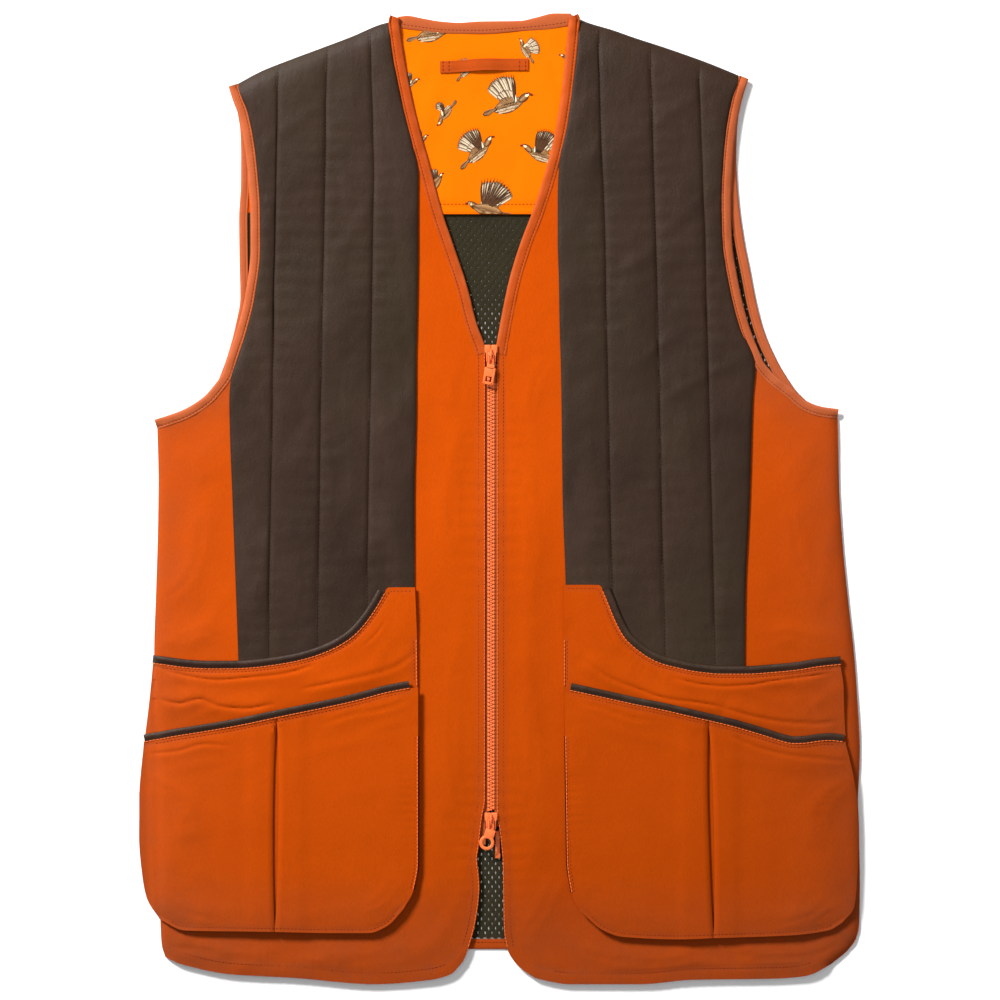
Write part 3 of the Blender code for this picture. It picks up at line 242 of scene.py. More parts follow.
LEFT_POCKET_FOOT = spots((65, -330), (83, -345), (98, -350), (142, -352), (171.5, -351), (230, -349),
    (263, -345), (274, -339))
RIGHT_PATCH_FOOT = spots((-209, -147), (-190, -147), (-163.5, -145), (-142, -138), (-120, -122), (-108, -106),
    (-98, -92), (-90, -84), (-67.5, -84))
LEFT_PATCH_FOOT = spots((52.5, -84), (76, -84), (84, -92), (91.5, -107), (105, -127), (120.5, -140),
    (142, -150), (164.5, -153.5), (196.5, -152))
RIGHT_MOUTH = spots((-285, -189), (-279, -187.6), (-273, -186.6), (-263, -184.6), (-244.5, -181.6),
    (-225, -178.4), (-206, -174.9), (-187, -170.8), (-168, -166.8), (-149, -163), (-130, -159),
    (-110.5, -154.4), (-91.5, -149.2), (-72.5, -145.6))
LEFT_MOUTH = spots((275.5, -188.6), (264.4, -187.4), (254.8, -187.9), (245.2, -189.3), (235.6, -189.8),
    (226, -187.8), (216.4, -184.8), (206.8, -181.8), (187.6, -176.2), (168.4, -171.6), (149.2, -167.2),
    (130, -162.8), (110.8, -159), (91.6, -154.8), (72.4, -150.6), (57.5, -147.4))
RIGHT_POCKET = RIGHT_PANEL[:3] + sections((-288.5, -270, -65, -260), (-288, -240, -65, -225),
    (-286, -215, -65, -190), (-284.7, -197.6, -65, -154.5))
LEFT_POCKET = LEFT_PANEL[:3] + sections((287, -270, 53.5, -260), (286, -245, 53, -225),
    (283, -224.5, 52.5, -190), (276.3, -197.6, 51.8, -155))
RIGHT_POCKET_HEAD = spots((-284.7, -194.8), (-263, -190.6), (-225, -184.4), (-187, -176.8), (-149, -169),
    (-110.5, -160.4), (-72.5, -151.6), (-65, -151))
LEFT_POCKET_HEAD = spots((51.8, -152.6), (57.5, -153.6), (91.6, -161), (130, -169), (168.4, -178),
    (187.6, -182.6), (206.8, -188), (226, -194), (235.6, -196), (245.2, -195.4), (254.8, -194.2),
    (276.3, -194.6))
FOLDS = crease_rows((-240, -30, 75, 150, 16, 0.9), (-238, 25, 20, 60, 14, 0.7), (-40, 20, 80, 160, 12, 0.6),
    (-45, -250, 84, 120, 11, 0.8), (-130, -366, 12, 90, 9, 0.8), (-215, -365, -20, 60, 8, 0.6),
    (-60, -360, 40, 40, 8, 0.6), (25, -60, 88, 200, 10, 0.7), (30, -270, 80, 110, 11, 0.8),
    (240, 10, 105, 150, 16, 0.9), (235, -60, 150, 70, 14, 0.6), (130, -366, -8, 110, 9, 0.7),
    (-140, 120, 60, 180, 26, 0.8), (125, 90, 110, 190, 26, 0.8), (120, 290, 30, 90, 22, 0.6),
    (-150, 260, 140, 90, 22, 0.6))
FINE_CREASES = crease_rows((-255, -112, 12, 60, 5, 0.5), (-232, -96, 55, 70, 6, 0.5),
    (-246, -55, 100, 80, 6, 0.4), (-228, 45, 40, 60, 6, 0.5), (-214, 78, 60, 50, 5, 0.4),
    (250, -108, -10, 70, 5, 0.5), (225, -85, 125, 70, 6, 0.5), (262, -40, 80, 90, 6, 0.4),
    (228, 52, 140, 60, 6, 0.5), (212, 76, 120, 50, 5, 0.4), (-36, 95, 74, 90, 5, 0.35),
    (-48, -10, 96, 110, 6, 0.4), (-30, -90, 82, 120, 5, 0.35), (-50, -190, 88, 140, 6, 0.4),
    (-38, -330, 62, 70, 6, 0.5), (24, 70, 102, 120, 6, 0.4), (38, -20, 84, 130, 6, 0.35),
    (22, -150, 92, 140, 5, 0.4), (40, -240, 100, 90, 6, 0.4), (30, -345, 118, 70, 6, 0.5),
    (-200, -372, 28, 40, 5, 0.6), (-150, -370, 8, 70, 4, 0.5), (-95, -374, -12, 60, 5, 0.5),
    (95, -376, 8, 70, 5, 0.5), (170, -372, -10, 60, 4, 0.5), (225, -370, -24, 50, 5, 0.5),
    (-250, -350, 40, 40, 5, 0.5))
RIGHT_FURROWS = [Furrow(4.0, 1.1, spots((-66, -122), (-82, -134), (-104, -141), (-132, -147), (-158, -152))),
    Furrow(3.6, 1.2, spots((-268, -137), (-248, -142), (-226, -145), (-200, -143), (-172, -140), (-148,
    -133))), Furrow(4.4, 1.3, spots((-272, -160), (-256, -164), (-240, -160), (-224, -166), (-204, -168),
    (-180, -164))), Furrow(3.2, 0.8, spots((-252, -148), (-243, -158), (-240, -170))), Furrow(3.6, 1.0,
    spots((-280, -204), (-258, -202), (-236, -196), (-214, -198))), Furrow(4.2, 0.9, spots((-278, -226),
    (-262, -236), (-250, -252), (-246, -276))), Furrow(3.0, 0.7, spots((-92, -98), (-98, -108), (-110,
    -118))), Furrow(3.6, 0.8, spots((-72, -160), (-92, -168), (-116, -172), (-140, -180))), Furrow(3.2, 0.6,
    spots((-80, -300), (-92, -318), (-112, -330))), Furrow(3.4, 0.7, spots((-270, -318), (-252, -330), (-228,
    -336)))]
LEFT_FURROWS = [Furrow(3.8, 1.2, spots((66, -127), (85, -142), (110, -152), (134, -160), (158, -163), (179,
    -167))), Furrow(3.6, 1.2, spots((139, -143), (158, -148), (179, -150), (200, -149), (217, -146), (240,
    -143), (263, -140))), Furrow(4.2, 1.3, spots((179, -167), (202, -174), (232, -179), (256, -180), (270,
    -178))), Furrow(4.0, 0.9, spots((232, -148), (240, -158), (250, -168), (252, -176))), Furrow(2.8, 0.8,
    spots((84, -100), (90, -112), (100, -121))), Furrow(3.8, 1.1, spots((180, -187), (204, -198), (232, -205),
    (258, -208), (278, -210))), Furrow(4.2, 0.9, spots((276, -228), (262, -240), (254, -258), (252, -282))),
    Furrow(3.4, 0.8, spots((62, -162), (84, -168), (108, -176), (128, -178))), Furrow(3.2, 0.6, spots((64,
    -300), (78, -320), (98, -334))), Furrow(3.4, 0.7, spots((268, -316), (250, -332), (224, -340))),
    Furrow(3.0, 0.6, spots((60, -180), (64, -200), (60, -226)))]
FRONT_FURROWS = [Furrow(4.0, 0.9, spots((-270, -108), (-252, -112), (-236, -106), (-222, -112))),
    Furrow(4.4, 0.8, spots((-266, -80), (-250, -66), (-240, -40), (-236, -8))),
    Furrow(3.6, 0.7, spots((-262, 40), (-244, 30), (-232, 10))),
    Furrow(3.6, 0.8, spots((268, -112), (250, -114), (232, -108), (214, -114))),
    Furrow(4.4, 0.8, spots((266, -84), (250, -70), (238, -40), (232, -4))),
    Furrow(3.6, 0.7, spots((258, 42), (242, 30), (230, 8))),
    Furrow(3.6, 0.7, spots((-22, 60), (-34, 30), (-38, -8), (-34, -48))),
    Furrow(3.6, 0.7, spots((-24, -110), (-36, -150), (-38, -200), (-32, -252))),
    Furrow(3.6, 0.7, spots((8, 40), (22, 8), (26, -40), (20, -84))),
    Furrow(3.6, 0.7, spots((10, -120), (24, -164), (28, -214), (20, -262))),
    Furrow(4.0, 0.9, spots((-262, -358), (-236, -362), (-206, -368), (-176, -366))),
    Furrow(3.6, 0.9, spots((-152, -362), (-124, -370), (-92, -368), (-66, -362))),
    Furrow(4.0, 0.8, spots((-60, -300), (-48, -330), (-34, -350))),
    Furrow(4.0, 0.9, spots((272, -356), (246, -366), (216, -368), (186, -364))),
    Furrow(3.6, 0.9, spots((160, -366), (128, -372), (96, -370), (62, -362))),
    Furrow(4.0, 0.8, spots((48, -300), (34, -330), (18, -352))),
    Furrow(3.4, 0.6, spots((-58, 110), (-46, 96), (-40, 70))),
    Furrow(3.4, 0.6, spots((42, 112), (30, 96), (24, 66)))]
RIGHT_POCKET_CREASES = crease_rows((-232, -142, 3, 70, 4.5, 0.9), (-250, -160, -48, 46, 5, 0.7),
    (-228, -168, 22, 50, 4, 0.7), (-150, -140, 24, 80, 6, 0.7), (-118, -148, 10, 60, 4, 0.7),
    (-92, -120, 62, 60, 6, 0.6), (-80, -150, 20, 34, 4, 0.6), (-240, -212, 10, 70, 5, 0.8),
    (-262, -230, -30, 50, 6, 0.8), (-252, -262, 74, 90, 7, 0.7), (-205, -215, 14, 50, 5, 0.6),
    (-268, -300, 84, 70, 6, 0.7), (-120, -196, 12, 80, 5, 0.8), (-92, -182, 20, 44, 4, 0.8),
    (-82, -230, 96, 90, 6, 0.5), (-135, -330, 8, 90, 6, 0.6), (-225, -328, -6, 80, 6, 0.7),
    (-130, -260, 64, 120, 12, 0.5), (-215, -270, 100, 110, 11, 0.5))
LEFT_POCKET_CREASES = crease_rows((236, -148, -4, 80, 4.5, 0.9), (256, -162, 40, 44, 5, 0.7),
    (214, -160, -20, 60, 4, 0.7), (140, -146, -22, 80, 6, 0.7), (104, -140, -30, 60, 5, 0.7),
    (76, -118, 112, 60, 6, 0.6), (68, -148, -24, 34, 4, 0.6), (232, -214, -8, 80, 5, 0.8),
    (262, -236, 34, 50, 6, 0.8), (250, -268, 100, 90, 7, 0.7), (196, -208, -14, 50, 5, 0.6),
    (266, -300, 94, 70, 6, 0.7), (120, -192, -14, 80, 5, 0.8), (82, -180, -22, 44, 4, 0.8),
    (70, -236, 86, 90, 6, 0.5), (120, -334, -6, 90, 6, 0.6), (222, -332, 6, 80, 6, 0.7),
    (120, -258, 116, 120, 12, 0.5), (212, -272, 82, 110, 11, 0.5))
LINING_CREASES = crease_rows((-40, 262, 100, 60, 9, 0.4), (20, 270, 82, 70, 9, 0.4), (-55, 320, 70, 70, 8, 0.5),
    (38, 325, 108, 70, 8, 0.5), (-10, 300, 6, 90, 9, 0.4), (-5, 360, 3, 90, 6, 0.4),
    (-62, 345, 60, 40, 6, 0.5), (48, 350, 120, 40, 6, 0.5))
PATCH_CREASES = crease_rows((-165, 300, 35, 60, 5, 0.35), (-120, 210, 60, 70, 5, 0.3),
    (-185, 150, 110, 70, 5, 0.35), (-90, 120, 80, 80, 6, 0.3), (-160, 40, 70, 90, 6, 0.3),
    (-100, -40, 100, 80, 6, 0.3), (-190, -60, 80, 80, 5, 0.35), (140, 310, 35, 70, 5, 0.4),
    (70, 260, 70, 80, 5, 0.35), (150, 230, 40, 60, 5, 0.4), (60, 170, 110, 70, 5, 0.35),
    (110, 190, 30, 60, 4, 0.4), (180, 130, 130, 90, 5, 0.5), (160, 95, 28, 70, 4, 0.5),
    (125, 120, 34, 60, 4, 0.4), (150, 40, 100, 90, 6, 0.35), (70, 60, 84, 80, 6, 0.3),
    (180, -60, 84, 90, 6, 0.35), (110, -50, 70, 80, 5, 0.3))


def ease(amount: Array) -> Array:
    """0 to 1, with soft ends."""
    amount = np.clip(amount, 0.0, 1.0)
    return amount * amount * (3.0 - 2.0 * amount)


def read(places: Sequence[float], values: Sequence[float], at: Array) -> Array:
    """A smooth line through values that never swings past them.

    Args:
        places: Rising places of the values.
        values: One value for each place.
        at: Where the line is read.

    Returns:
        The value at each place asked for.
    """
    places = np.asarray(places, float)
    values = np.asarray(values, float)
    gaps = np.diff(places)
    rises = np.diff(values) / gaps
    slopes = np.zeros(len(places))
    same = rises[:-1] * rises[1:] > 0
    total = np.where(same, rises[:-1] + rises[1:], 1.0)
    slopes[1:-1] = np.where(same, 2.0 * rises[:-1] * rises[1:] / total, 0.0)
    slopes[0] = rises[0]
    slopes[-1] = rises[-1]
    index = np.clip(np.searchsorted(places, at) - 1, 0, len(gaps) - 1)
    part = np.clip((at - places[index]) / gaps[index], 0.0, 1.0)
    first = values[index] * (1 + 2 * part) + slopes[index] * gaps[index] * part
    second = values[index + 1] * (3 - 2 * part) + slopes[index + 1] * gaps[index] * (part - 1)
    return first * (1 - part) ** 2 + second * part**2


def read_spots(line: Line, at: Array) -> Array:
    """Height of a free line at the places across."""
    ordered = sorted(line)
    return read([spot[0] for spot in ordered], [spot[1] for spot in ordered], at)


def away(across: Array, up: Array, line: Line) -> Array:
    """Distance of each place from a free line."""
    return beside(across, up, line)[0]


def beside(across: Array, up: Array, line: Line) -> tuple[Array, Array]:
    """How far each place is from a line, and how far along the line its nearest point is.

    Args:
        across: Places from the middle, to the wearer's left.
        up: Places from the middle, to the neck.
        line: The line's spots.

    Returns:
        The distances and the lengths along the line.
    """
    line = np.asarray(line, float)
    nearest = np.full(np.shape(across), 1e9)
    along_line = np.zeros(np.shape(across))
    passed = 0.0
    for start, end in zip(line[:-1], line[1:]):
        along = end - start
        reach = max(float(along @ along), 1e-9)
        part = ((across - start[0]) * along[0] + (up - start[1]) * along[1]) / reach
        part = np.clip(part, 0.0, 1.0)
        gap = np.hypot(across - start[0] - part * along[0], up - start[1] - part * along[1])
        closer = gap < nearest
        nearest = np.where(closer, gap, nearest)
        along_line = np.where(closer, passed + part * math.sqrt(reach), along_line)
        passed += math.sqrt(reach)
    return nearest, along_line


def starts(rows: Sequence[Section]) -> list[Spot]:
    """The line through the starts of the rows."""
    return [Spot(row.start_across, row.start_up) for row in rows]


def ends(rows: Sequence[Section]) -> list[Spot]:
    """The line through the ends of the rows."""
    return [Spot(row.end_across, row.end_up) for row in rows]


def moved(line: Line, distance: float) -> Array:
    """A line's points shifted square to it; a positive distance is to its left."""
    points = np.asarray(line, float)
    along = np.gradient(points, axis=0)
    along /= np.linalg.norm(along, axis=1)[:, None]
    return points + distance * np.stack([-along[:, 1], along[:, 0]], axis=1)


def between(line: Line, first: float, last: float) -> list[Spot]:
    """The spots of a line whose height is between first and last."""
    return [Spot(*spot) for spot in line if first <= spot[1] <= last]


def smooth(line: Line, pitch: float) -> Array:
    """A line with evenly spaced points on a smooth curve through its spots.

    Args:
        line: The line's spots.
        pitch: The distance between the new points.

    Returns:
        The new points, one row each.
    """
    points = np.asarray(line, float)
    lengths = np.concatenate([[0.0], np.cumsum(np.linalg.norm(np.diff(points, axis=0), axis=1))])
    count = max(int(round(lengths[-1] / pitch)), 2)
    at = np.linspace(0.0, lengths[-1], count + 1)
    return np.stack([read(lengths, points[:, column], at) for column in (0, 1)], axis=1)


def seam_beside(line: Line, pitch: float, distance: float) -> list[Spot]:
    """A sewn line beside an edge; a positive distance is to the edge's left."""
    return [Spot(*spot) for spot in moved(smooth(line, pitch), distance)]


def lowered(line: Line) -> list[Spot]:
    """A shoulder's line, where the cloth turns over to the back."""
    return [Spot(spot.across, spot.up - SHOULDER_DROP) for spot in line]


def row_lines(rows: Sequence[Section], pitch: float) -> Array:
    """Both ends of every row, with more rows between the given ones where they are far apart.

    Args:
        rows: The given sections.
        pitch: The most that two rows may be apart.

    Returns:
        Four numbers for each row.
    """
    table = np.asarray(rows, float)
    index = np.arange(len(table))
    at: list[float] = [0.0]
    for place, (low, high) in enumerate(zip(table[:-1], table[1:])):
        gap = max(np.hypot(*(high[:2] - low[:2])), np.hypot(*(high[2:] - low[2:])))
        steps = max(int(math.ceil(gap / pitch)), 1)
        at.extend(place + np.arange(1, steps + 1) / steps)
    return np.stack([read(index, table[:, column], np.array(at)) for column in range(4)], axis=1)


def bent(across: Array, up: Array, middle: Array, row: int, line: Line, reach: float) -> Array:
    """Rows bent so that the given row lies on a line, fading with the distance from it.

    Args:
        across: Places of the panel, rows by columns.
        up: Heights of the panel, rows by columns.
        middle: The height of the middle of each row.
        row: The row that lies on the line, the first or the last.
        line: The line's spots.
        reach: How far from the line the rows are straight again.

    Returns:
        The bent heights.
    """
    bend = read_spots(line, across[row]) - up[row]
    fade = np.clip(1.0 - np.abs(middle - middle[row]) / reach, 0.0, 1.0)
    return up + fade[:, None] * bend[None, :]


def spread(lines: Array, shares: Array, foot: Optional[Line] = None, head: Optional[Line] = None,
    reach: tuple[float, float] = (90.0, 90.0)) -> tuple[Array, Array]:
    """Places of a panel: rows from the foot to the head, columns at the shares of each row.

    Args:
        lines: Both ends of each row.
        shares: Shares of a row's width, for all rows or one set for each.
        foot: The line that the first row is bent to.
        head: The line that the last row is bent to.
        reach: How far each bend fades into the panel.

    Returns:
        Across and up, each rows by columns.
    """
    shares = np.broadcast_to(shares, (len(lines), np.shape(shares)[-1]))
    across = lines[:, 0:1] * (1 - shares) + lines[:, 2:3] * shares
    up = lines[:, 1:2] * (1 - shares) + lines[:, 3:4] * shares
    middle = (lines[:, 1] + lines[:, 3]) / 2
    straight = up
    if foot is not None:
        up = up + bent(across, straight, middle, 0, foot, reach[0]) - straight
    if head is not None:
        up = up + bent(across, straight, middle, -1, head, reach[1]) - straight
    return across, up


def slid_down(row: Section, rows: Sequence[Section], drop: float) -> Section:
    """A row moved down, its ends kept on the panel's edges."""
    table = np.asarray(rows, float)
    start_up = row.start_up - drop
    end_up = row.end_up - drop
    start_across = float(np.interp(start_up, table[:, 1], table[:, 0]))
    end_across = float(np.interp(end_up, table[:, 3], table[:, 2]))
    return Section(start_across, start_up, end_across, end_up)


def panel_head(top_line: Line, corner: Spot) -> list[Spot]:
    """The top edge of a pocket panel: under its leather binding, then up to its corner."""
    way = math.copysign(1.0, corner.across - top_line[0].across)
    lowest = moved(top_line, -way * (TRIM_WIDTH + 1.0))
    line = [Spot(*spot) for spot in lowest]
    last = line[-1].across
    line.append(Spot(last + way * 0.8, corner.up - 2.0))
    line.append(Spot(last + way * 2.6, corner.up - 0.2))
    for share in (0.33, 0.66, 1.0):
        line.append(Spot(last + way * 2.6 + share * (corner.across - last - way * 2.6), corner.up))
    return line


def edge_shares(lines: Array, pitch: float) -> Array:
    """Columns close together where the cloth turns over, then evenly spread.

    Args:
        lines: Both ends of each row.
        pitch: The distance between columns across the widest row.

    Returns:
        Shares of each row's width.
    """
    width = np.hypot(lines[:, 2] - lines[:, 0], lines[:, 3] - lines[:, 1])[:, None]
    near = np.array([0.0, 0.7, 1.6, 2.8, 4.4, 6.5, 9.0, 12.0])[None, :] / width
    count = int(round((float(width.max()) - 12.0) / pitch))
    rest = np.linspace(0, 1, count + 1)[None, 1:]
    start = near[:, -1:]
    return np.concatenate([near, start + (1 - start) * rest], axis=1)


def even_shares(lines: Array, pitch: float) -> Array:
    """Evenly spread columns, pitch apart across the widest row."""
    width = float(np.abs(lines[:, 2] - lines[:, 0]).max())
    return np.linspace(0.0, 1.0, int(round(width / pitch)) + 1)


def swell(across: Array, up: Array, creases: Sequence[Crease]) -> Array:
    """The height that a list of creases adds at each place."""
    total = np.zeros(np.shape(across))
    for crease in creases:
        turn = math.radians(crease.turn)
        along = (across - crease.across) * math.cos(turn) + (up - crease.up) * math.sin(turn)
        aside = (up - crease.up) * math.cos(turn) - (across - crease.across) * math.sin(turn)
        aside = aside + 0.09 * crease.length * (along / crease.length) ** 2
        reach = (2.2 * along / crease.length) ** 2 + (aside / crease.width) ** 2
        total += crease.height * np.exp(-reach)
    return total


def furrowed(across: Array, up: Array, furrows: Sequence[Furrow]) -> Array:
    """The height that a list of furrows adds at each place."""
    total = np.zeros(np.shape(across))
    for furrow in furrows:
        line = smooth(furrow.line, 6.0)
        gap, along = beside(across, up, line)
        length = float(np.linalg.norm(np.diff(line, axis=0), axis=1).sum())
        fade = ease((along + 4.0) / 16.0) * ease((length + 4.0 - along) / 16.0)
        share = gap / (0.8 * furrow.half)
        total += 0.85 * furrow.height * fade * share * np.exp(1.0 - share)
    return total


def unevenness(across: Array, up: Array, wave: float, seed: int) -> Array:
    """Smooth rolling ground between -1 and 1, the same each time.

    Args:
        across: Places from the middle.
        up: Places from the middle.
        wave: The length of its longest waves.
        seed: Picks the ground.

    Returns:
        One value for each place.
    """
    picks = np.random.default_rng(seed)
    total = np.zeros(np.shape(across))
    weight = 0.0
    for _ in range(14):
        length = wave * picks.uniform(0.35, 1.0)
        turn = picks.uniform(0.0, math.tau)
        phase = picks.uniform(0.0, math.tau)
        strength = length / wave
        run = across * math.cos(turn) + up * math.sin(turn)
        total += strength * np.sin(math.tau * run / length + phase)
        weight += strength
    return 2.2 * total / weight


def pucker(across: Array, up: Array, seam: Line, wave: float, reach: float, seed: int) -> Array:
    """Short gathers square to a sewn line, strongest beside it.

    Args:
        across: Places from the middle.
        up: Places from the middle.
        seam: The sewn line.
        wave: The distance from one gather to the next.
        reach: How far the gathers run into the cloth.
        seed: Picks their unevenness.

    Returns:
        Heights between 0 and 1, and 0 on the sewn line.
    """
    gap, along = beside(across, up, seam)
    picks = np.random.default_rng(seed)
    phase = picks.uniform(0.0, math.tau, 3)
    gather = np.sin(math.tau * along / wave + phase[0] + 1.4 * np.sin(along / (2.3 * wave) + phase[1]))
    strong = 0.5 + 0.5 * np.sin(along / (3.7 * wave) + phase[2])
    return (0.5 + 0.5 * gather) * strong * (gap / reach) * np.exp(1.0 - gap / reach)


def groove(across: Array, up: Array, seam: Line, half: float) -> Array:
    """1 on a sewn line, falling to 0 beside it."""
    return np.exp(-((away(across, up, seam) / half) ** 2))


class Lay:
    """How the cloth lies on the surface: the heights of each layer above it."""

    def __init__(self) -> None:
        """Works out the edges that the fronts turn over at."""
        self.right_side = between(starts(RIGHT_FRONT), -400, 58)
        self.left_side = between(starts(LEFT_FRONT), -400, 65)
        self.turned = [self.right_side, self.left_side, lowered(RIGHT_SHOULDER), lowered(LEFT_SHOULDER)]

    def fold_distance(self, across: Array, up: Array) -> Array:
        """Distance from the edges where the cloth turns over to the back."""
        return np.minimum.reduce([away(across, up, line) for line in self.turned])

    def creases(self, across: Array, up: Array) -> Array:
        """The soft creases and rolling of the fronts, still at the zip."""
        rolling = 0.26 * (1.0 + unevenness(across, up, 90.0, 3))
        rolling = rolling + 0.09 * (1.0 + unevenness(across, up, 26.0, 4))
        total = swell(across, up, FOLDS) + 0.8 * swell(across, up, FINE_CREASES) + rolling
        total = total + furrowed(across, up, FRONT_FURROWS)
        return total * ease((np.abs(across - ZIP_MIDDLE) - 8.0) / 25.0)

    def front_under(self, across: Array, up: Array) -> Array:
        """Height of the underside of the fronts."""
        high = FRONT_HEIGHT + self.creases(across, up)
        drop = np.exp(-self.fold_distance(across, up) / FOLD_REACH)
        return high - (high - 0.2) * drop

    def front_top(self, across: Array, up: Array) -> Array:
        """Height of the face of the fronts, without their seams."""
        return self.front_under(across, up) + CLOTH

    def patch_under(self, across: Array, up: Array, shoulder: Line) -> Array:
        """Height of the leather's underside, which turns over a little beyond the front."""
        turn = ease(away(across, up, shoulder) / 2.6)
        return 0.2 + (self.front_top(across, up) + 1.6 * SEAM_GAP - 0.2) * turn


class Side(Enum):
    """A side of the vest, as its wearer has it."""

    RIGHT = "right"
    LEFT = "left"


@dataclass(frozen=True)
class Cut:
    """The tables of one half of the vest."""

    front: list[Section]
    hem: list[Spot]
    shoulder: list[Spot]
    quilt: list[Quilt]
    patch: list[Section]
    patch_foot: list[Spot]
    pocket_top: list[Spot]
    panel: list[Section]
    pocket_foot: list[Spot]
    mouth: list[Spot]
    pocket: list[Section]
    pocket_head: list[Spot]
    slit: list[Spot]
    back_armhole: list[Spot]
    creases: list[Crease]
    furrows: list[Furrow]


CUTS = {Side.RIGHT: Cut(RIGHT_FRONT, RIGHT_HEM, RIGHT_SHOULDER, RIGHT_QUILT, RIGHT_PATCH_ROWS,
    RIGHT_PATCH_FOOT, RIGHT_POCKET_TOP, RIGHT_PANEL, RIGHT_POCKET_FOOT, RIGHT_MOUTH, RIGHT_POCKET,
    RIGHT_POCKET_HEAD, spots((-178, -179), (-179.5, -344.5)), RIGHT_BACK_ARMHOLE, RIGHT_POCKET_CREASES,
    RIGHT_FURROWS), Side.LEFT: Cut(LEFT_FRONT, LEFT_HEM, LEFT_SHOULDER, LEFT_QUILT, LEFT_PATCH_ROWS,
    LEFT_PATCH_FOOT, LEFT_POCKET_TOP, LEFT_PANEL, LEFT_POCKET_FOOT, LEFT_MOUTH, LEFT_POCKET, LEFT_POCKET_HEAD,
    spots((167, -179), (171.5, -350)), LEFT_BACK_ARMHOLE, LEFT_POCKET_CREASES, LEFT_FURROWS)}


def new_piece(name: str, points: Array, faces: Sequence[Sequence[int]], sharp: float = 50.0) -> Piece:
    """A smooth shaded mesh object with its place in its mesh.

    Args:
        name: The piece's name.
        points: Its points in millimetres.
        faces: The points of each face.
        sharp: Edges that bend by more than this many degrees stay sharp.

    Returns:
        The new object.
    """
    mesh = bpy.data.meshes.new(name)
    mesh.from_pydata((np.asarray(points) * MM).tolist(), [], faces)
    mesh.polygons.foreach_set("use_smooth", np.ones(len(mesh.polygons), bool))
    mesh.set_sharp_from_angle(angle=math.radians(sharp))
    mesh.update()
    piece = bpy.data.objects.new(name, mesh)
    bpy.context.scene.collection.objects.link(piece)
    return piece


def mark(piece: Piece, name: str, values: Array) -> None:
    """Keeps one number for each point of a piece, for its finish to read."""
    attribute = piece.data.attributes.new(name, "FLOAT", "POINT")
    attribute.data.foreach_set("value", np.asarray(values, np.float32).ravel())


def sheet(across: Array, up: Array, height: Array | float) -> Array:
    """Points of a sheet, rows by columns by three."""
    return np.stack([across, up, np.broadcast_to(height, across.shape)], axis=2)


def wall(name: str, lower: Array, upper: Array, wear_and_shade: Optional[Array] = None) -> Piece:
    """One closed wall of cloth between two facing sheets of points.

    Args:
        name: The piece's name.
        lower: The under sheet, rows by columns by three.
        upper: The upper sheet, of the same size.
        wear_and_shade: How much wear and painted shade each point has, rows by columns, from 0 to 1.

    Returns:
        The new object.
    """
    rows, columns = lower.shape[:2]
    first = upper[0, -1, :2] - upper[0, 0, :2]
    second = upper[-1, 0, :2] - upper[0, 0, :2]
    if first[0] * second[1] - first[1] * second[0] < 0:
        lower, upper = lower[:, ::-1], upper[:, ::-1]
        wear_and_shade = None if wear_and_shade is None else wear_and_shade[:, ::-1]
    count = rows * columns
    number = np.arange(count).reshape(rows, columns)
    a, b = number[:-1, :-1].ravel(), number[:-1, 1:].ravel()
    c, d = number[1:, 1:].ravel(), number[1:, :-1].ravel()
    rim = np.concatenate([number[0, :-1], number[:-1, -1], number[-1, :0:-1], number[:0:-1, 0]])
    after = np.roll(rim, -1)
    faces = np.concatenate([np.stack([a, b, c, d], axis=1) + count, np.stack([a, d, c, b], axis=1),
        np.stack([rim, after, after + count, rim + count], axis=1)])
    points = np.concatenate([lower.reshape(-1, 3), upper.reshape(-1, 3)])
    piece = new_piece(name, points, faces.tolist())
    if wear_and_shade is not None:
        mark(piece, "wear_and_shade", np.concatenate([wear_and_shade.ravel(), wear_and_shade.ravel()]))
    return piece


def cloth_wall(name: str, across: Array, up: Array, low: Array | float, top: Array | float,
    wear_and_shade: Optional[Array] = None) -> Piece:
    """One closed wall of cloth between two heights over the same places."""
    return wall(name, sheet(across, up, low), sheet(across, up, top), wear_and_shade)


def tube(name: str, rings: Array, wear_and_shade: Optional[Array] = None) -> Piece:
    """A closed strip through rings of points, with a face over each end.

    Args:
        name: The piece's name.
        rings: Rings by points by three.
        wear_and_shade: How much wear each point has, rings by points.

    Returns:
        The new object, facing outwards.
    """
    count, around = rings.shape[:2]
    number = np.arange(count * around).reshape(count, around)
    after = np.roll(number, -1, axis=1)
    sides = np.stack([number[:-1].ravel(), number[1:].ravel(), after[1:].ravel(), after[:-1].ravel()], axis=1)
    points = rings.reshape(-1, 3)
    a, b, c, d = (points[sides[:, corner]] for corner in range(4))
    volume = np.einsum("ij,ij->i", a, np.cross(b, c)) + np.einsum("ij,ij->i", a, np.cross(c, d))
    faces = sides.tolist() + [number[0].tolist(), number[-1, ::-1].tolist()]
    if volume.sum() < 0:
        faces = [face[::-1] for face in faces]
    piece = new_piece(name, points, faces)
    if wear_and_shade is not None:
        mark(piece, "wear_and_shade", wear_and_shade)
    return piece


# Across a tape: the share of its width from the seam, and the share of its thickness.
TAPE_PROFILE = ((-0.05, 0.86), (0.04, 0.98), (0.13, 0.92), (0.19, 0.8), (0.25, 0.93), (0.4, 1.0), (0.62, 1.0),
    (0.82, 0.96), (0.94, 0.8), (1.0, 0.45), (0.98, 0.18), (0.9, 0.02), (0.6, 0.0), (0.3, 0.0), (0.06, 0.0))
# Across a corded leather edge: a round bead and a flat.
CORD_PROFILE = ((0.0, 0.3), (0.02, 0.62), (0.12, 0.86), (0.28, 0.98), (0.46, 1.0), (0.62, 0.9), (0.74, 0.72),
    (0.86, 0.62), (0.97, 0.58), (1.0, 0.4), (0.97, 0.08), (0.7, 0.0), (0.3, 0.0), (0.05, 0.05))


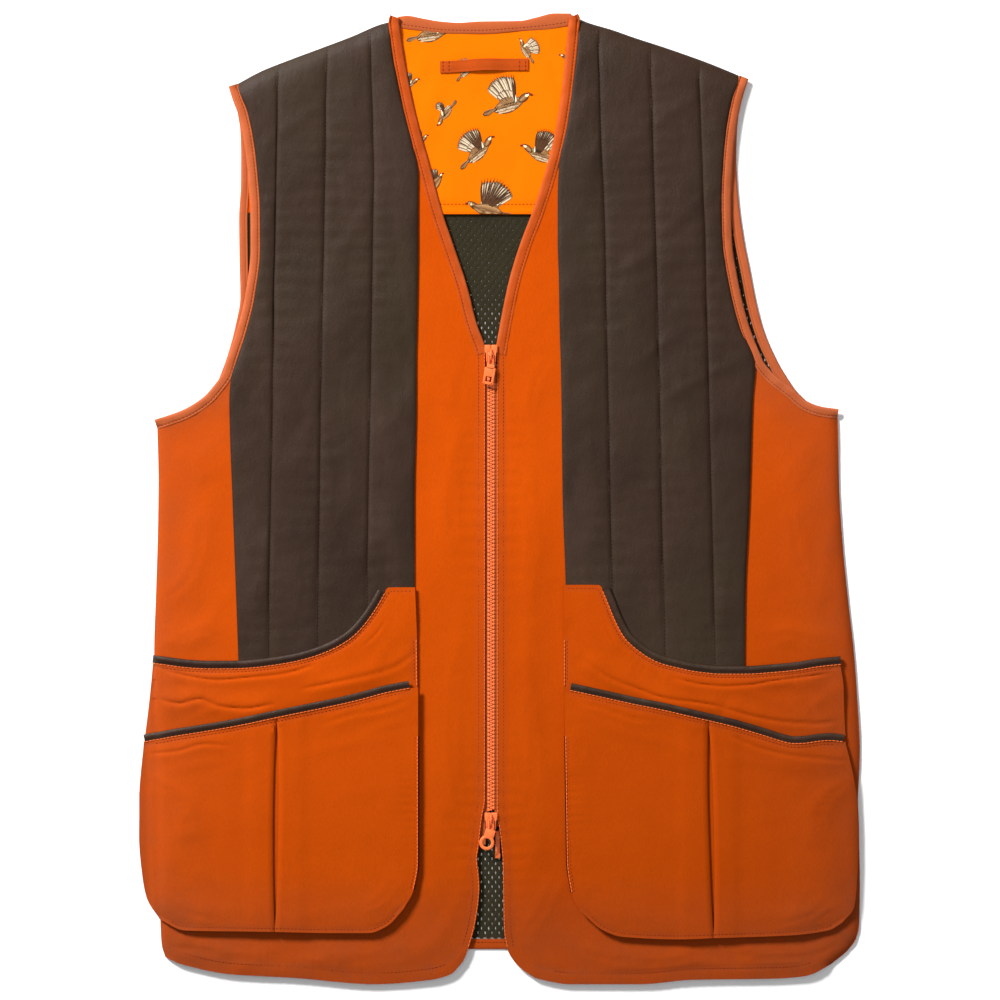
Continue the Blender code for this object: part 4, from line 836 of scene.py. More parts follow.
def tape(name: str, line: Array, width: float, low: Height, high: Height,
    profile: Sequence[tuple[float, float]] = TAPE_PROFILE) -> Piece:
    """A folded tape along a line, with a rounded section.

    Args:
        name: The piece's name.
        line: Its seam line; the tape lies to the left of it, or the right if width is under 0.
        width: Its width.
        low: Height of its underside.
        high: Height of its crown.
        profile: Its section.

    Returns:
        The new object.
    """
    rings = []
    for share, level in profile:
        places = moved(line, share * width)
        bottom = low(places[:, 0], places[:, 1])
        top = high(places[:, 0], places[:, 1])
        rings.append(np.column_stack([places, bottom + level * (top - bottom)]))
    rings = np.stack(rings, axis=1)
    along = np.arange(len(line))[:, None]
    share = np.array([place[0] for place in profile])[None, :]
    wear_and_shade = 0.5 + 0.5 * np.sin(along * 0.9 + 3.0 * share) * np.sin(along * 0.37)
    return tube(name, rings, np.where(share > 0.8, 0.5 + 0.5 * wear_and_shade, 0.3 * wear_and_shade))


def taken(piece: Piece) -> Shape:
    """The points, in millimetres, and faces of a modelled shape, which is then removed."""
    mesh = piece.data
    points = np.empty(len(mesh.vertices) * 3)
    mesh.vertices.foreach_get("co", points)
    faces = [list(polygon.vertices) for polygon in mesh.polygons]
    bpy.data.objects.remove(piece)
    bpy.data.meshes.remove(mesh)
    return points.reshape(-1, 3) / MM, faces


def repeated(name: str, shape: Shape, places: Array, axes: Array, sharp: float = 50.0) -> Piece:
    """Copies of one shape in one mesh, each copy with its own points.

    Args:
        name: The piece's name.
        shape: Points and faces of the shape.
        places: The place of each copy.
        axes: Three axes for each copy, as rows; their lengths scale it.
        sharp: Edges that bend by more than this many degrees stay sharp.

    Returns:
        The new object.
    """
    points, faces = shape
    copies = np.einsum("pk,ckx->cpx", points, axes) + places[:, None, :]
    many = [[corner + copy * len(points) for corner in face] for copy in range(len(places)) for face in faces]
    return new_piece(name, copies.reshape(-1, 3), many, sharp)


def in_hand(name: str) -> Piece:
    """The primitive that was just added, named."""
    piece = bpy.context.active_object
    piece.name = name
    return piece


def let_go() -> None:
    """Leaves edit mode and deselects everything."""
    if bpy.context.mode != "OBJECT":
        bpy.ops.object.mode_set(mode="OBJECT")
    bpy.ops.object.select_all(action="DESELECT")


@dataclass
class Needle:
    """Sews lines of stitches, and makes each thread's stitches one piece."""

    pitch: float = 3.0
    places: dict[str, list[Array]] = field(default_factory=dict)
    axes: dict[str, list[Array]] = field(default_factory=dict)

    def stitch(self) -> Shape:
        """One stitch: a slim bead of unit length."""
        let_go()
        bpy.ops.mesh.primitive_uv_sphere_add(segments=6, ring_count=3, radius=0.5 * MM)
        bead = in_hand("stitch")
        bpy.ops.object.mode_set(mode="EDIT")
        bpy.ops.mesh.select_all(action="SELECT")
        bpy.ops.transform.rotate(value=math.pi / 2, orient_axis="Y", center_override=(0, 0, 0))
        let_go()
        return taken(bead)

    def sew(self, thread: str, line: Line, height: Height, sink: float = 0.0, gap: float = 0.9,
        thick: float = 0.55) -> None:
        """Adds one row of stitches.

        Args:
            thread: The thread's name.
            line: The row's line.
            height: The height of what it is sewn on.
            sink: How deep the stitches lie in it.
            gap: How far one stitch ends before the next.
            thick: The thread's thickness.
        """
        even = smooth(line, self.pitch)
        high = height(even[:, 0], even[:, 1]) + 0.3 * thick - sink
        points = np.column_stack([even, high])
        along = np.diff(points, axis=0)
        length = np.linalg.norm(along, axis=1)[:, None]
        way = along / length
        aside = np.cross(np.array([0.0, 0.0, 1.0]), way)
        aside /= np.linalg.norm(aside, axis=1)[:, None]
        rise = np.cross(way, aside)
        axes = np.stack([way * (length - gap), aside * thick, rise * thick], axis=1)
        self.places.setdefault(thread, []).append((points[:-1] + points[1:]) / 2)
        self.axes.setdefault(thread, []).append(axes)

    def finish(self) -> dict[str, Piece]:
        """One piece for each thread, by the thread's name."""
        bead = self.stitch()
        return {thread: repeated(f"{thread}_stitches", bead, np.concatenate(self.places[thread]),
            np.concatenate(self.axes[thread]), 80.0) for thread in self.places}


def carry(piece: Piece, material: Material, slot: str, *nodes: str, body: str = "vest") -> Piece:
    """Gives a piece its finish and its body, and lets it stand for its solids.

    Args:
        piece: The finished piece.
        material: Its finish.
        slot: Not used.
        nodes: The solids it stands for.
        body: The body it moves with.

    Returns:
        The piece.
    """
    piece.data.materials.clear()
    piece.data.materials.append(material)
    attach(piece, body)
    if nodes:
        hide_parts(*nodes)
    log.info("%s: %d faces", piece.name, len(piece.data.polygons))
    return piece


class Nodes:
    """A material's node tree while it is being made."""

    def __init__(self, name: str) -> None:
        """Starts a material with one Principled shader."""
        self.material = bpy.data.materials.new(name)
        self.material.use_nodes = True
        self.tree = self.material.node_tree
        self.shader = self.tree.nodes["Principled BSDF"]

    def add(self, kind: str, inputs: dict | None = None, **settings: object) -> bpy.types.Node:
        """Adds a node.

        Args:
            kind: The node's type, without its ShaderNode prefix.
            inputs: A value or another node's output for each input, by name or number.
            settings: The node's own settings.

        Returns:
            The new node.
        """
        node = self.tree.nodes.new("ShaderNode" + kind)
        for name, value in settings.items():
            setattr(node, name, value)
        for name, value in (inputs or {}).items():
            self.put(node.inputs[name], value)
        return node

    def put(self, socket: Socket, value: object) -> None:
        """Gives a socket a value, or links it to another node's output."""
        if isinstance(value, Socket):
            self.tree.links.new(value, socket)
        elif isinstance(value, tuple) and len(value) == 3 and socket.type == "RGBA":
            socket.default_value = (*value, 1.0)
        else:
            socket.default_value = value

    def place(self, scale: Triple = (1.0, 1.0, 1.0), turn: float = 0.0) -> Socket:
        """Object coordinates, turned about the vertical and then scaled."""
        spot = self.add("TexCoord").outputs["Object"]
        mapping = self.add("Mapping",
            {"Vector": spot, "Rotation": (0.0, 0.0, math.radians(turn)), "Scale": scale})
        return mapping.outputs["Vector"]

    def noise(self, vector: Socket, scale: float, detail: float = 3.0, rough: float = 0.55) -> Socket:
        """A noise value between 0 and 1."""
        node = self.add("TexNoise", {"Vector": vector, "Scale": scale, "Detail": detail, "Roughness": rough})
        return node.outputs["Fac"]

    def span(self, value: Socket, low: float, high: float, to_low: float, to_high: float) -> Socket:
        """A value stretched from one range to another, and kept in it."""
        node = self.add("MapRange", {0: value, 1: low, 2: high, 3: to_low, 4: to_high})
        return node.outputs["Result"]

    def maths(self, kind: str, first: object, second: object = 0.0) -> Socket:
        """One sum of two values."""
        return self.add("Math", {0: first, 1: second}, operation=kind).outputs[0]

    def times(self, first: object, second: object) -> Socket:
        """One value times another."""
        return self.maths("MULTIPLY", first, second)

    def wear_and_shade(self) -> Socket:
        """How much wear and painted shade the cloth has at each place."""
        return self.add("Attribute", attribute_name="wear_and_shade").outputs["Fac"]

    def shaded(self, tone: Socket, shade: Socket) -> Socket:
        """A colour made darker or lighter by a shade."""
        grey = self.add("CombineColor", {0: shade, 1: shade, 2: shade}).outputs[0]
        return self.mix(1.0, tone, grey, "MULTIPLY")

    def mix(self, share: object, first: object, second: object, blend: str = "MIX") -> Socket:
        """Two colours mixed by a share."""
        node = self.add("Mix", data_type="RGBA", blend_type=blend)
        self.put(node.inputs[0], share)
        self.put(node.inputs[6], first)
        self.put(node.inputs[7], second)
        return node.outputs[2]

    def bump(self, height: Socket, deep: float, before: object = None) -> Socket:
        """A bump that is deep metres high, over another bump."""
        node = self.add("Bump", {"Height": height, "Distance": deep, "Strength": 1.0})
        if before is not None:
            self.put(node.inputs["Normal"], before)
        return node.outputs["Normal"]

    def dress(self, **values: object) -> Material:
        """Sets the shader's sockets, with an underscore for each space, and ends the material."""
        for name, value in values.items():
            self.put(self.shader.inputs[name.replace("_", " ")], value)
        return self.material


@dataclass(frozen=True)
class Twill:
    """Woven cotton with slanting ribs, cloudy from washing, with wear at its seams and painted shade towards
    the lower right.
    """

    name: str
    colour: Colour
    deep: Colour
    rubbed_and_shaded: Colour
    rib: float = 0.95
    turn: float = 28.0
    rib_depth: float = 0.00010
    rumple: float = 0.0007
    roughness: float = 0.82
    cloud: float = 0.5
    painted_falloff_tone: float = 0.72

    def make(self) -> Material:
        """Builds the material."""
        nodes = Nodes(self.name)
        flat = nodes.place()
        slanted = nodes.place(turn=self.turn)
        ribs = nodes.add("TexWave", {"Vector": slanted, "Scale": WAVE / self.rib / MM, "Distortion": 1.2,
            "Detail": 1.0, "Detail Scale": 1.4}).outputs["Fac"]
        yarns = nodes.noise(nodes.place((1.0, 0.22, 1.0), 90.0 - self.turn), 1500.0, 1.0)
        weave = nodes.maths("ADD", nodes.times(ribs, 0.6), nodes.times(yarns, 0.8))
        clouds = nodes.span(nodes.noise(flat, 6.5, 4.0, 0.6), 0.32, 0.68, 0.0, 1.0)
        streaks = nodes.span(nodes.noise(nodes.place((1.0, 0.25, 1.0), 12.0), 38.0, 4.0), 0.35, 0.7, 0.0, 1.0)
        tone = nodes.mix(nodes.times(clouds, self.cloud), self.colour, self.deep)
        tone = nodes.mix(nodes.times(streaks, 0.22), tone, self.deep)
        # The point mark mixes in the third colour: wear on the tapes, and on the orange twill painted shade at
        # the sides and towards the hem.
        wear_and_shade = nodes.wear_and_shade()
        patchy = nodes.span(nodes.noise(flat, 45.0, 3.0), 0.3, 0.7, 0.6, 1.0)
        tone = nodes.mix(nodes.times(wear_and_shade, patchy), tone, self.rubbed_and_shaded)
        # Painted shade: the colour darkens towards the lower right of the vest, where the light falls off.
        low = nodes.add("SeparateXYZ", {0: nodes.place(turn=68.0)}).outputs["X"]
        shade = nodes.span(weave, 0.35, 1.1, 0.86, 1.08)
        shade = nodes.times(shade, nodes.span(low, 0.0, 0.32, 1.0, self.painted_falloff_tone))
        colour = nodes.shaded(tone, shade)
        creased = nodes.bump(nodes.noise(nodes.place((1.0, 0.55, 1.0), 20.0), 26.0, 4.0, 0.5), self.rumple)
        slub = nodes.bump(nodes.noise(flat, 420.0, 2.0), 0.00006, creased)
        normal = nodes.bump(weave, self.rib_depth, slub)
        return nodes.dress(Base_Color=colour,
            Roughness=nodes.span(weave, 0.3, 1.2, self.roughness + 0.08, self.roughness - 0.08),
            Normal=normal, Specular_IOR_Level=0.03)


@dataclass(frozen=True)
class Leather:
    """Soft grained leather with pores, fine wrinkles and a satin face."""

    name: str
    colour: Colour
    deep: Colour
    light: Colour
    green: Colour = (0.030, 0.0185, 0.0070)
    grain: float = 1.3
    roughness: float = 0.5
    gloss: float = 0.14

    def make(self) -> Material:
        """Builds the material."""
        nodes = Nodes(self.name)
        flat = nodes.place()
        cells = nodes.add("TexVoronoi", {"Vector": flat, "Scale": 1.0 / self.grain / MM, "Randomness": 1.0},
            feature="DISTANCE_TO_EDGE").outputs["Distance"]
        pebbles = nodes.span(cells, 0.0, 0.28, 0.0, 1.0)
        pores = nodes.span(nodes.noise(flat, 2600.0, 2.0), 0.35, 0.5, 0.0, 1.0)
        wrinkles = nodes.noise(nodes.place((1.0, 0.45, 1.0), -18.0), 55.0, 5.0, 0.62)
        rolls = nodes.noise(nodes.place((1.0, 0.6, 1.0), 24.0), 14.0, 2.0)
        clouds = nodes.span(nodes.noise(flat, 11.0, 5.0, 0.6), 0.3, 0.7, 0.0, 1.0)
        tone = nodes.mix(clouds, self.deep, self.colour)
        green = nodes.span(nodes.noise(nodes.place((1.0, 0.7, 1.0), 20.0), 9.0, 3.0), 0.46, 0.66, 0.0, 0.6)
        tone = nodes.mix(green, tone, self.green)
        rubs = nodes.span(
            nodes.noise(nodes.place((1.0, 0.3, 1.0), 8.0), 24.0, 6.0, 0.65), 0.52, 0.78, 0.0, 0.55
        )
        tone = nodes.mix(rubs, tone, self.light)
        wear_and_shade = nodes.wear_and_shade()
        tone = nodes.mix(nodes.times(wear_and_shade, 0.8), tone, self.deep)
        shade = nodes.span(nodes.times(pebbles, pores), 0.0, 1.0, 0.78, 1.05)
        colour = nodes.shaded(tone, shade)
        soft = nodes.bump(rolls, 0.0032)
        soft = nodes.bump(wrinkles, 0.0009, soft)
        normal = nodes.bump(pebbles, 0.00007, nodes.bump(pores, 0.00003, soft))
        satin = nodes.span(clouds, 0.0, 1.0, self.roughness - 0.06, self.roughness + 0.08)
        return nodes.dress(Base_Color=colour, Roughness=satin, Normal=normal, Specular_IOR_Level=self.gloss)


@dataclass(frozen=True)
class Poplin:
    """Plain woven lining, bright and smooth, with threads across each other."""

    name: str
    colour: Colour
    deep: Colour
    pitch: float = 0.5

    def make(self) -> Material:
        """Builds the material."""
        nodes = Nodes(self.name)
        flat = nodes.place()
        scale = WAVE / self.pitch / MM
        warp = nodes.add("TexWave", {"Vector": flat, "Scale": scale}, bands_direction="X").outputs["Fac"]
        weft = nodes.add("TexWave", {"Vector": flat, "Scale": scale}, bands_direction="Y").outputs["Fac"]
        weave = nodes.times(warp, weft)
        clouds = nodes.span(nodes.noise(flat, 14.0, 3.0), 0.35, 0.65, 0.0, 1.0)
        tone = nodes.mix(nodes.times(clouds, 0.35), self.colour, self.deep)
        wear_and_shade = nodes.wear_and_shade()
        tone = nodes.mix(wear_and_shade, tone, self.deep)
        shade = nodes.span(weave, 0.0, 1.0, 0.93, 1.04)
        creased = nodes.bump(nodes.noise(nodes.place((1.0, 0.5, 1.0), 14.0), 30.0, 4.0), 0.0006)
        normal = nodes.bump(weave, 0.00005, creased)
        return nodes.dress(Base_Color=nodes.shaded(tone, shade), Roughness=0.78, Normal=normal,
            Specular_IOR_Level=0.02)


@dataclass(frozen=True)
class Knit:
    """Knitted yarn: fine loops with dark hollows between them."""

    name: str
    colour: Colour
    deep: Colour

    def make(self) -> Material:
        """Builds the material."""
        nodes = Nodes(self.name)
        flat = nodes.place()
        loops = nodes.add("TexWave",
            {"Vector": nodes.place(turn=62.0), "Scale": WAVE / 0.62 / MM, "Distortion": 2.2, "Detail": 1.0}
            ).outputs["Fac"]
        fuzz = nodes.noise(flat, 2400.0, 2.0)
        yarn = nodes.maths("ADD", nodes.times(loops, 0.7), nodes.times(fuzz, 0.5))
        clouds = nodes.noise(flat, 30.0, 3.0)
        tone = nodes.mix(nodes.span(yarn, 0.3, 0.95, 0.0, 1.0), self.deep, self.colour)
        tone = nodes.mix(nodes.span(clouds, 0.4, 0.7, 0.0, 0.35), tone, self.deep)
        return nodes.dress(Base_Color=tone, Roughness=0.7, Normal=nodes.bump(yarn, 0.00022),
            Specular_IOR_Level=0.1)


@dataclass(frozen=True)
class Moulded:
    """Painted or moulded fastening, slightly uneven in gloss and darker in random clouds."""

    name: str
    colour: Colour
    deep: Colour
    roughness: float = 0.38

    def make(self) -> Material:
        """Builds the material."""
        nodes = Nodes(self.name)
        flat = nodes.place()
        clouds = nodes.span(nodes.noise(flat, 240.0, 4.0), 0.35, 0.7, 0.0, 1.0)
        tone = nodes.mix(nodes.times(clouds, 0.45), self.colour, self.deep)
        gloss = nodes.span(
            nodes.noise(flat, 700.0, 3.0), 0.3, 0.7, self.roughness - 0.08, self.roughness + 0.14
        )
        normal = nodes.bump(nodes.noise(flat, 1300.0, 3.0), 0.00004)
        return nodes.dress(Base_Color=tone, Roughness=gloss, Normal=normal, Specular_IOR_Level=0.2)


@dataclass(frozen=True)
class Yarn:
    """Sewing thread, twisted."""

    name: str
    colour: Colour
    deep: Colour

    def make(self) -> Material:
        """Builds the material."""
        nodes = Nodes(self.name)
        twist = nodes.add("TexWave", {"Vector": nodes.place(turn=35.0), "Scale": WAVE / 0.3 / MM}
            ).outputs["Fac"]
        clouds = nodes.noise(nodes.place(), 90.0, 2.0)
        tone = nodes.mix(nodes.span(twist, 0.2, 0.8, 0.0, 1.0), self.deep, self.colour)
        tone = nodes.mix(nodes.span(clouds, 0.45, 0.7, 0.0, 0.4), tone, self.deep)
        return nodes.dress(
            Base_Color=tone, Roughness=0.55, Normal=nodes.bump(twist, 0.00004), Specular_IOR_Level=0.05
        )


@dataclass(frozen=True)
class Ink:
    """Printed ink that takes its colours from the print itself, with the cloth's threads in it."""

    name: str

    def make(self) -> Material:
        """Builds the material."""
        nodes = Nodes(self.name)
        flat = nodes.place()
        colours = nodes.add("Attribute", attribute_name="ink").outputs["Color"]
        speckle = nodes.span(nodes.noise(flat, 1500.0, 2.0), 0.35, 0.65, 0.8, 1.12)
        normal = nodes.bump(nodes.noise(flat, 1800.0, 1.0), 0.00004)
        return nodes.dress(Base_Color=nodes.shaded(colours, speckle), Roughness=0.8, Normal=normal,
            Specular_IOR_Level=0.03)


@dataclass(frozen=True)
class Paper:
    """The pale ground that the vest lies on."""

    name: str
    colour: Colour

    def make(self) -> Material:
        """Builds the material."""
        nodes = Nodes(self.name)
        tooth = nodes.noise(nodes.place(), 900.0, 3.0)
        return nodes.dress(Base_Color=self.colour, Roughness=0.9, Normal=nodes.bump(tooth, 0.00003))


@dataclass(frozen=True)
class Finishes:
    """Every finish of the vest."""

    twill: Material
    tape: Material
    arm_tape: Material
    leather: Material
    cord: Material
    lining: Material
    net: Material
    zip: Material
    orange_thread: Material
    # A light yarn, laid as painted highlight along turned edges.
    turned: Material
    # Brown thread for the leather's seams, also laid as a painted shadow line beside each pocket.
    brown_thread: Material
    print: Material
    ground: Material

    @classmethod
    def mixed(cls) -> "Finishes":
        """Makes them all, in the vest's colours."""
        # The orange twill's darker third colour is painted shade for its sides and hem; the tapes' lighter
        # third colours are for their rubbed edges.
        return cls(twill=Twill("orange_twill", (0.475, 0.0605, 0.0005), (0.40, 0.0465, 0.0003), (0.29, 0.052,
            0.0125)).make(), arm_tape=Twill("pale_tape", (0.37, 0.083, 0.026), (0.32, 0.066, 0.018), (0.42,
            0.105, 0.045), painted_falloff_tone=0.92).make(), tape=Twill("coral_tape", (0.39, 0.058, 0.007), (0.33, 0.043,
            0.003), (0.43, 0.083, 0.022), rib=0.7, turn=40.0, rib_depth=0.00008, rumple=0.0003,
            painted_falloff_tone=0.85).make(), leather=Leather("brown_leather", (0.034, 0.0158, 0.0085), (0.023, 0.0112,
            0.0056), (0.056, 0.031, 0.020)).make(), cord=Leather("cord_leather", (0.046, 0.0190, 0.0090),
            (0.022, 0.0092, 0.0046), (0.078, 0.040, 0.023), grain=0.9, roughness=0.45, gloss=0.2).make(),
            lining=Poplin("orange_poplin", (0.80, 0.148, 0.0004), (0.70, 0.115, 0.0003)).make(),
            net=Knit("olive_net", (0.038, 0.030, 0.011), (0.011, 0.009, 0.0035)).make(),
            zip=Moulded("salmon_zip", (0.80, 0.158, 0.040), (0.62, 0.105, 0.022)).make(),
            orange_thread=Yarn("orange_thread", (0.26, 0.022, 0.002), (0.15, 0.010, 0.001)).make(),
            # The light yarn of painted highlight along turned edges.
            turned=Yarn("painted_edge_highlight", (0.74, 0.160, 0.042), (0.60, 0.105, 0.020)).make(),
            # Brown thread for the leather's seams, also used for the painted shadow line beside each pocket.
            brown_thread=Yarn("brown_thread", (0.026, 0.014, 0.009), (0.008, 0.0045, 0.003)).make(),
            print=Ink("bird_ink").make(), ground=Paper("white_ground", (0.93, 0.93, 0.93)).make())


@dataclass
class NetBack:
    """The knitted net of the back: columns of long holes, each column half a hole lower."""

    column: float = 2.8
    repeat: float = 7.4
    hole_half: float = 0.56
    hole_reach: float = 1.35
    strand_low: float = 0.3
    strand_high: float = 0.85

    def build(self) -> Piece:
        """Builds the net as one sheet, closed along its edges."""
        rows = row_lines(NET_BACK, 3.0)
        foot, head = rows[0, 1], rows[-1, 1]
        left = lambda up: np.interp(up, rows[:, 1], rows[:, 0])
        right = lambda up: np.interp(up, rows[:, 3], rows[:, 2])
        across = np.arange(-272.0, 286.0, self.column)
        up = np.arange(foot + 1.0, head, self.repeat)
        column, row = np.meshgrid(np.arange(len(across)), np.arange(len(up)), indexing="ij")
        centre_across = across[column].ravel()
        centre_up = (up[row] + (column % 2) * self.repeat / 2).ravel()
        kept = (centre_across > left(centre_up)) & (centre_across < right(centre_up))
        kept &= centre_up < head + self.repeat / 2
        centre_across, centre_up = centre_across[kept], centre_up[kept]
        wide = self.column / 1.5
        corner = np.array([(1.0, 0.0), (0.5, 0.5), (-0.5, 0.5), (-1.0, 0.0), (-0.5, -0.5), (0.5, -0.5)])
        outer = corner * (wide, self.repeat)
        inner = np.array([(1.0, 0.0), (0.5, 1.0), (-0.5, 1.0), (-1.0, 0.0), (-0.5, -1.0), (0.5, -1.0)])
        inner = inner * (self.hole_half, self.hole_reach)
        picks = np.random.default_rng(5)
        size = picks.uniform(0.8, 1.12, (len(centre_across), 1, 1))
        open_below = 0.4 + 0.6 * ease((196.0 - centre_up) / 90.0) - 0.16 * ease((-200.0 - centre_up) / 60.0)
        size *= open_below[:, None, None]
        centre = np.stack([centre_across, centre_up], axis=1)[:, None, :]
        outer_places = centre + outer
        inner_places = centre + inner * size
        clamped = outer_places.copy()
        clamped[..., 1] = np.clip(clamped[..., 1], foot, head)
        low, high = left(clamped[..., 1]), right(clamped[..., 1])
        clamped[..., 0] = np.clip(clamped[..., 0], low, high)
        closed = np.abs(clamped - outer_places).max(axis=(1, 2)) > 0.05
        cells = len(centre_across)
        _, first, shared = np.unique(np.round(clamped.reshape(-1, 2), 1), axis=0, return_index=True,
            return_inverse=True)
        corners = clamped.reshape(-1, 2)[first]
        shared = shared.reshape(cells, 6)
        rims = inner_places.reshape(-1, 2)
        rim = len(corners) + np.arange(cells * 6).reshape(cells, 6)
        turned, rim_turned = np.roll(shared, -1, axis=1), np.roll(rim, -1, axis=1)
        rings = np.stack([shared, turned, rim_turned, rim], axis=2)[~closed].reshape(-1, 4)
        solid = [list(dict.fromkeys(face)) for face in shared[closed].tolist()]
        solid = [face for face in solid if len(face) > 2]
        rolling = lambda places: 0.12 * unevenness(places[:, 0], places[:, 1], 70.0, 8)
        points = np.concatenate([np.column_stack([corners, self.strand_high + rolling(corners)]),
            np.column_stack([rims, self.strand_low + rolling(rims)])])
        used = np.unique(np.concatenate([rings.ravel(), np.array(sum(solid, []), int)]))
        renumber = np.full(len(points), -1)
        renumber[used] = np.arange(len(used))
        faces = renumber[rings].tolist() + [[int(renumber[i]) for i in face] for face in solid]
        return new_piece("net_back", points[used], faces, 180.0)


@dataclass
class Hanger:
    """The loop of tape across the back of the neck, sewn down at both ends."""

    start: float = -47.5
    end: float = 23.0
    middle: float = 345.2
    half: float = 4.8
    rise: float = 1.8
    thickness: float = 1.0

    def line(self) -> Array:
        """Its middle line."""
        across = np.linspace(self.start, self.end, 41)
        up = self.middle + 2.0 * ease((across - self.start) / 40.0)
        return np.column_stack([across, up])

    def build(self, lining_top: Height) -> Piece:
        """Builds the loop on the lining."""
        line = self.line()
        middle = (self.start + self.end) / 2
        lift = self.rise * ease((self.end - np.abs(line[:, 0] - middle) - 0.9) / 18.0 - 0.05)
        rings = []
        section = ((-1.0, 0.5), (-0.97, 0.85), (-0.85, 1.0), (-0.7, 0.82), (-0.5, 1.0), (0.5, 1.0),
            (0.7, 0.82), (0.85, 1.0), (0.97, 0.85), (1.0, 0.5), (0.95, 0.05), (0.0, 0.0), (-0.95, 0.05))
        for share, level in section:
            places = moved(line, -share * self.half)
            low = lining_top(places[:, 0], places[:, 1]) + SEAM_GAP + lift
            rings.append(np.column_stack([places, low + level * self.thickness]))
        return tube("hanger_tape", np.stack(rings, axis=1))

    def sew(self, needle: Needle, lining_top: Height) -> None:
        """Sews two bars at each end."""
        top = lambda across, up: lining_top(across, up) + SEAM_GAP + self.thickness
        for place in (self.start + 2.2, self.start + 7.0, self.end - 2.2, self.end - 7.0):
            line = spots((place, self.middle - 3.6), (place, self.middle + 5.4))
            needle.sew("orange_thread", line, top)


@dataclass
class Yoke:
    """The twill yoke, its printed lining and the binding of the back neck."""

    pitch: float = 3.2
    hem_turn: float = 7.0

    def lining_creases(self, across: Array, up: Array) -> Array:
        """The lining's soft creases, deepest below the neck."""
        soft = 0.28 * (1.0 + unevenness(across, up, 60.0, 12))
        long = swell(across, up, LINING_CREASES)
        gathers = 0.5 * pucker(
            across, up, spots((-197, LINING_STITCHES), (181, LINING_STITCHES)), 9.0, 7.0, 21
        )
        return soft + long + gathers + 0.25 * ease((self.hem_turn - (up - YOKE_SEAM)) / 1.2)

    def lining_top(self, across: Array, up: Array) -> Array:
        """Height of the lining's printed face."""
        return YOKE + SEAM_GAP + LINING + self.lining_creases(across, up)

    def build_outer(self) -> Piece:
        """Builds the outside of the yoke, face down."""
        lines = row_lines(YOKE_SECTIONS, 4.0)
        across, up = spread(lines, even_shares(lines, 4.0), head=YOKE_HEAD, reach=(90.0, 84.0))
        sunk = 0.35 * ease((up - YOKE_SEAM) / 10.0) * (1.0 + unevenness(across, up, 70.0, 14)) / 2
        return cloth_wall("yoke_twill", across, up, sunk, YOKE)

    def build_lining(self) -> Piece:
        """Builds the printed lining."""
        rows = sections((-199.2, 227.6, 184.5, 227.6)) + YOKE_SECTIONS[1:3]
        rows += sections((-199, 299, 181, 302), (-200, 306, 182, 310))
        lines = row_lines(rows, self.pitch)
        across, up = spread(lines, even_shares(lines, self.pitch), head=LINING_HEAD, reach=(90.0, 76.0))
        top = self.lining_top(across, up)
        low = np.full(across.shape, YOKE + SEAM_GAP)
        wear_and_shade = 0.7 * np.exp(-(((up - LINING_STITCHES) / 1.4) ** 2)) + 0.5 * np.exp(-((up - YOKE_SEAM) / 1.5))
        return cloth_wall("printed_lining", across, up, low, top, wear_and_shade)

    def build_neck_binding(self) -> Piece:
        """Builds the folded tape along the back of the neck."""
        across = np.linspace(NECK_TOP[0].across, NECK_TOP[-1].across, 60)
        high = read_spots(NECK_TOP, across)
        low = read_spots(NECK_FOOT, across)
        section = ((-0.2, 3.0), (-0.1, 3.4), (0.1, 3.2), (0.24, 3.3), (0.5, 3.2), (0.8, 2.8), (0.95, 2.2),
            (1.0, 1.4), (0.97, 0.5), (0.85, 0.05), (0.4, 0.0), (-0.16, 2.2))
        rings = [
            np.column_stack([across, low + share * (high - low), np.full(60, level)])
            for share, level in section
        ]
        return tube("back_neck_tape", np.stack(rings, axis=1))

    def sew(self, needle: Needle) -> None:
        """Sews the lining to the net and the binding to the neck."""
        needle.sew(
            "orange_thread", spots((-196, LINING_STITCHES), (180, LINING_STITCHES)), self.lining_top, 0.1
        )
        across = np.linspace(NECK_TOP[0].across + 1.0, NECK_TOP[-1].across - 1.0, 12)
        line = np.column_stack([across, read_spots(NECK_FOOT, across) + 1.3])
        needle.sew("orange_thread", line, lambda x, y: np.full(np.shape(x), 3.1))


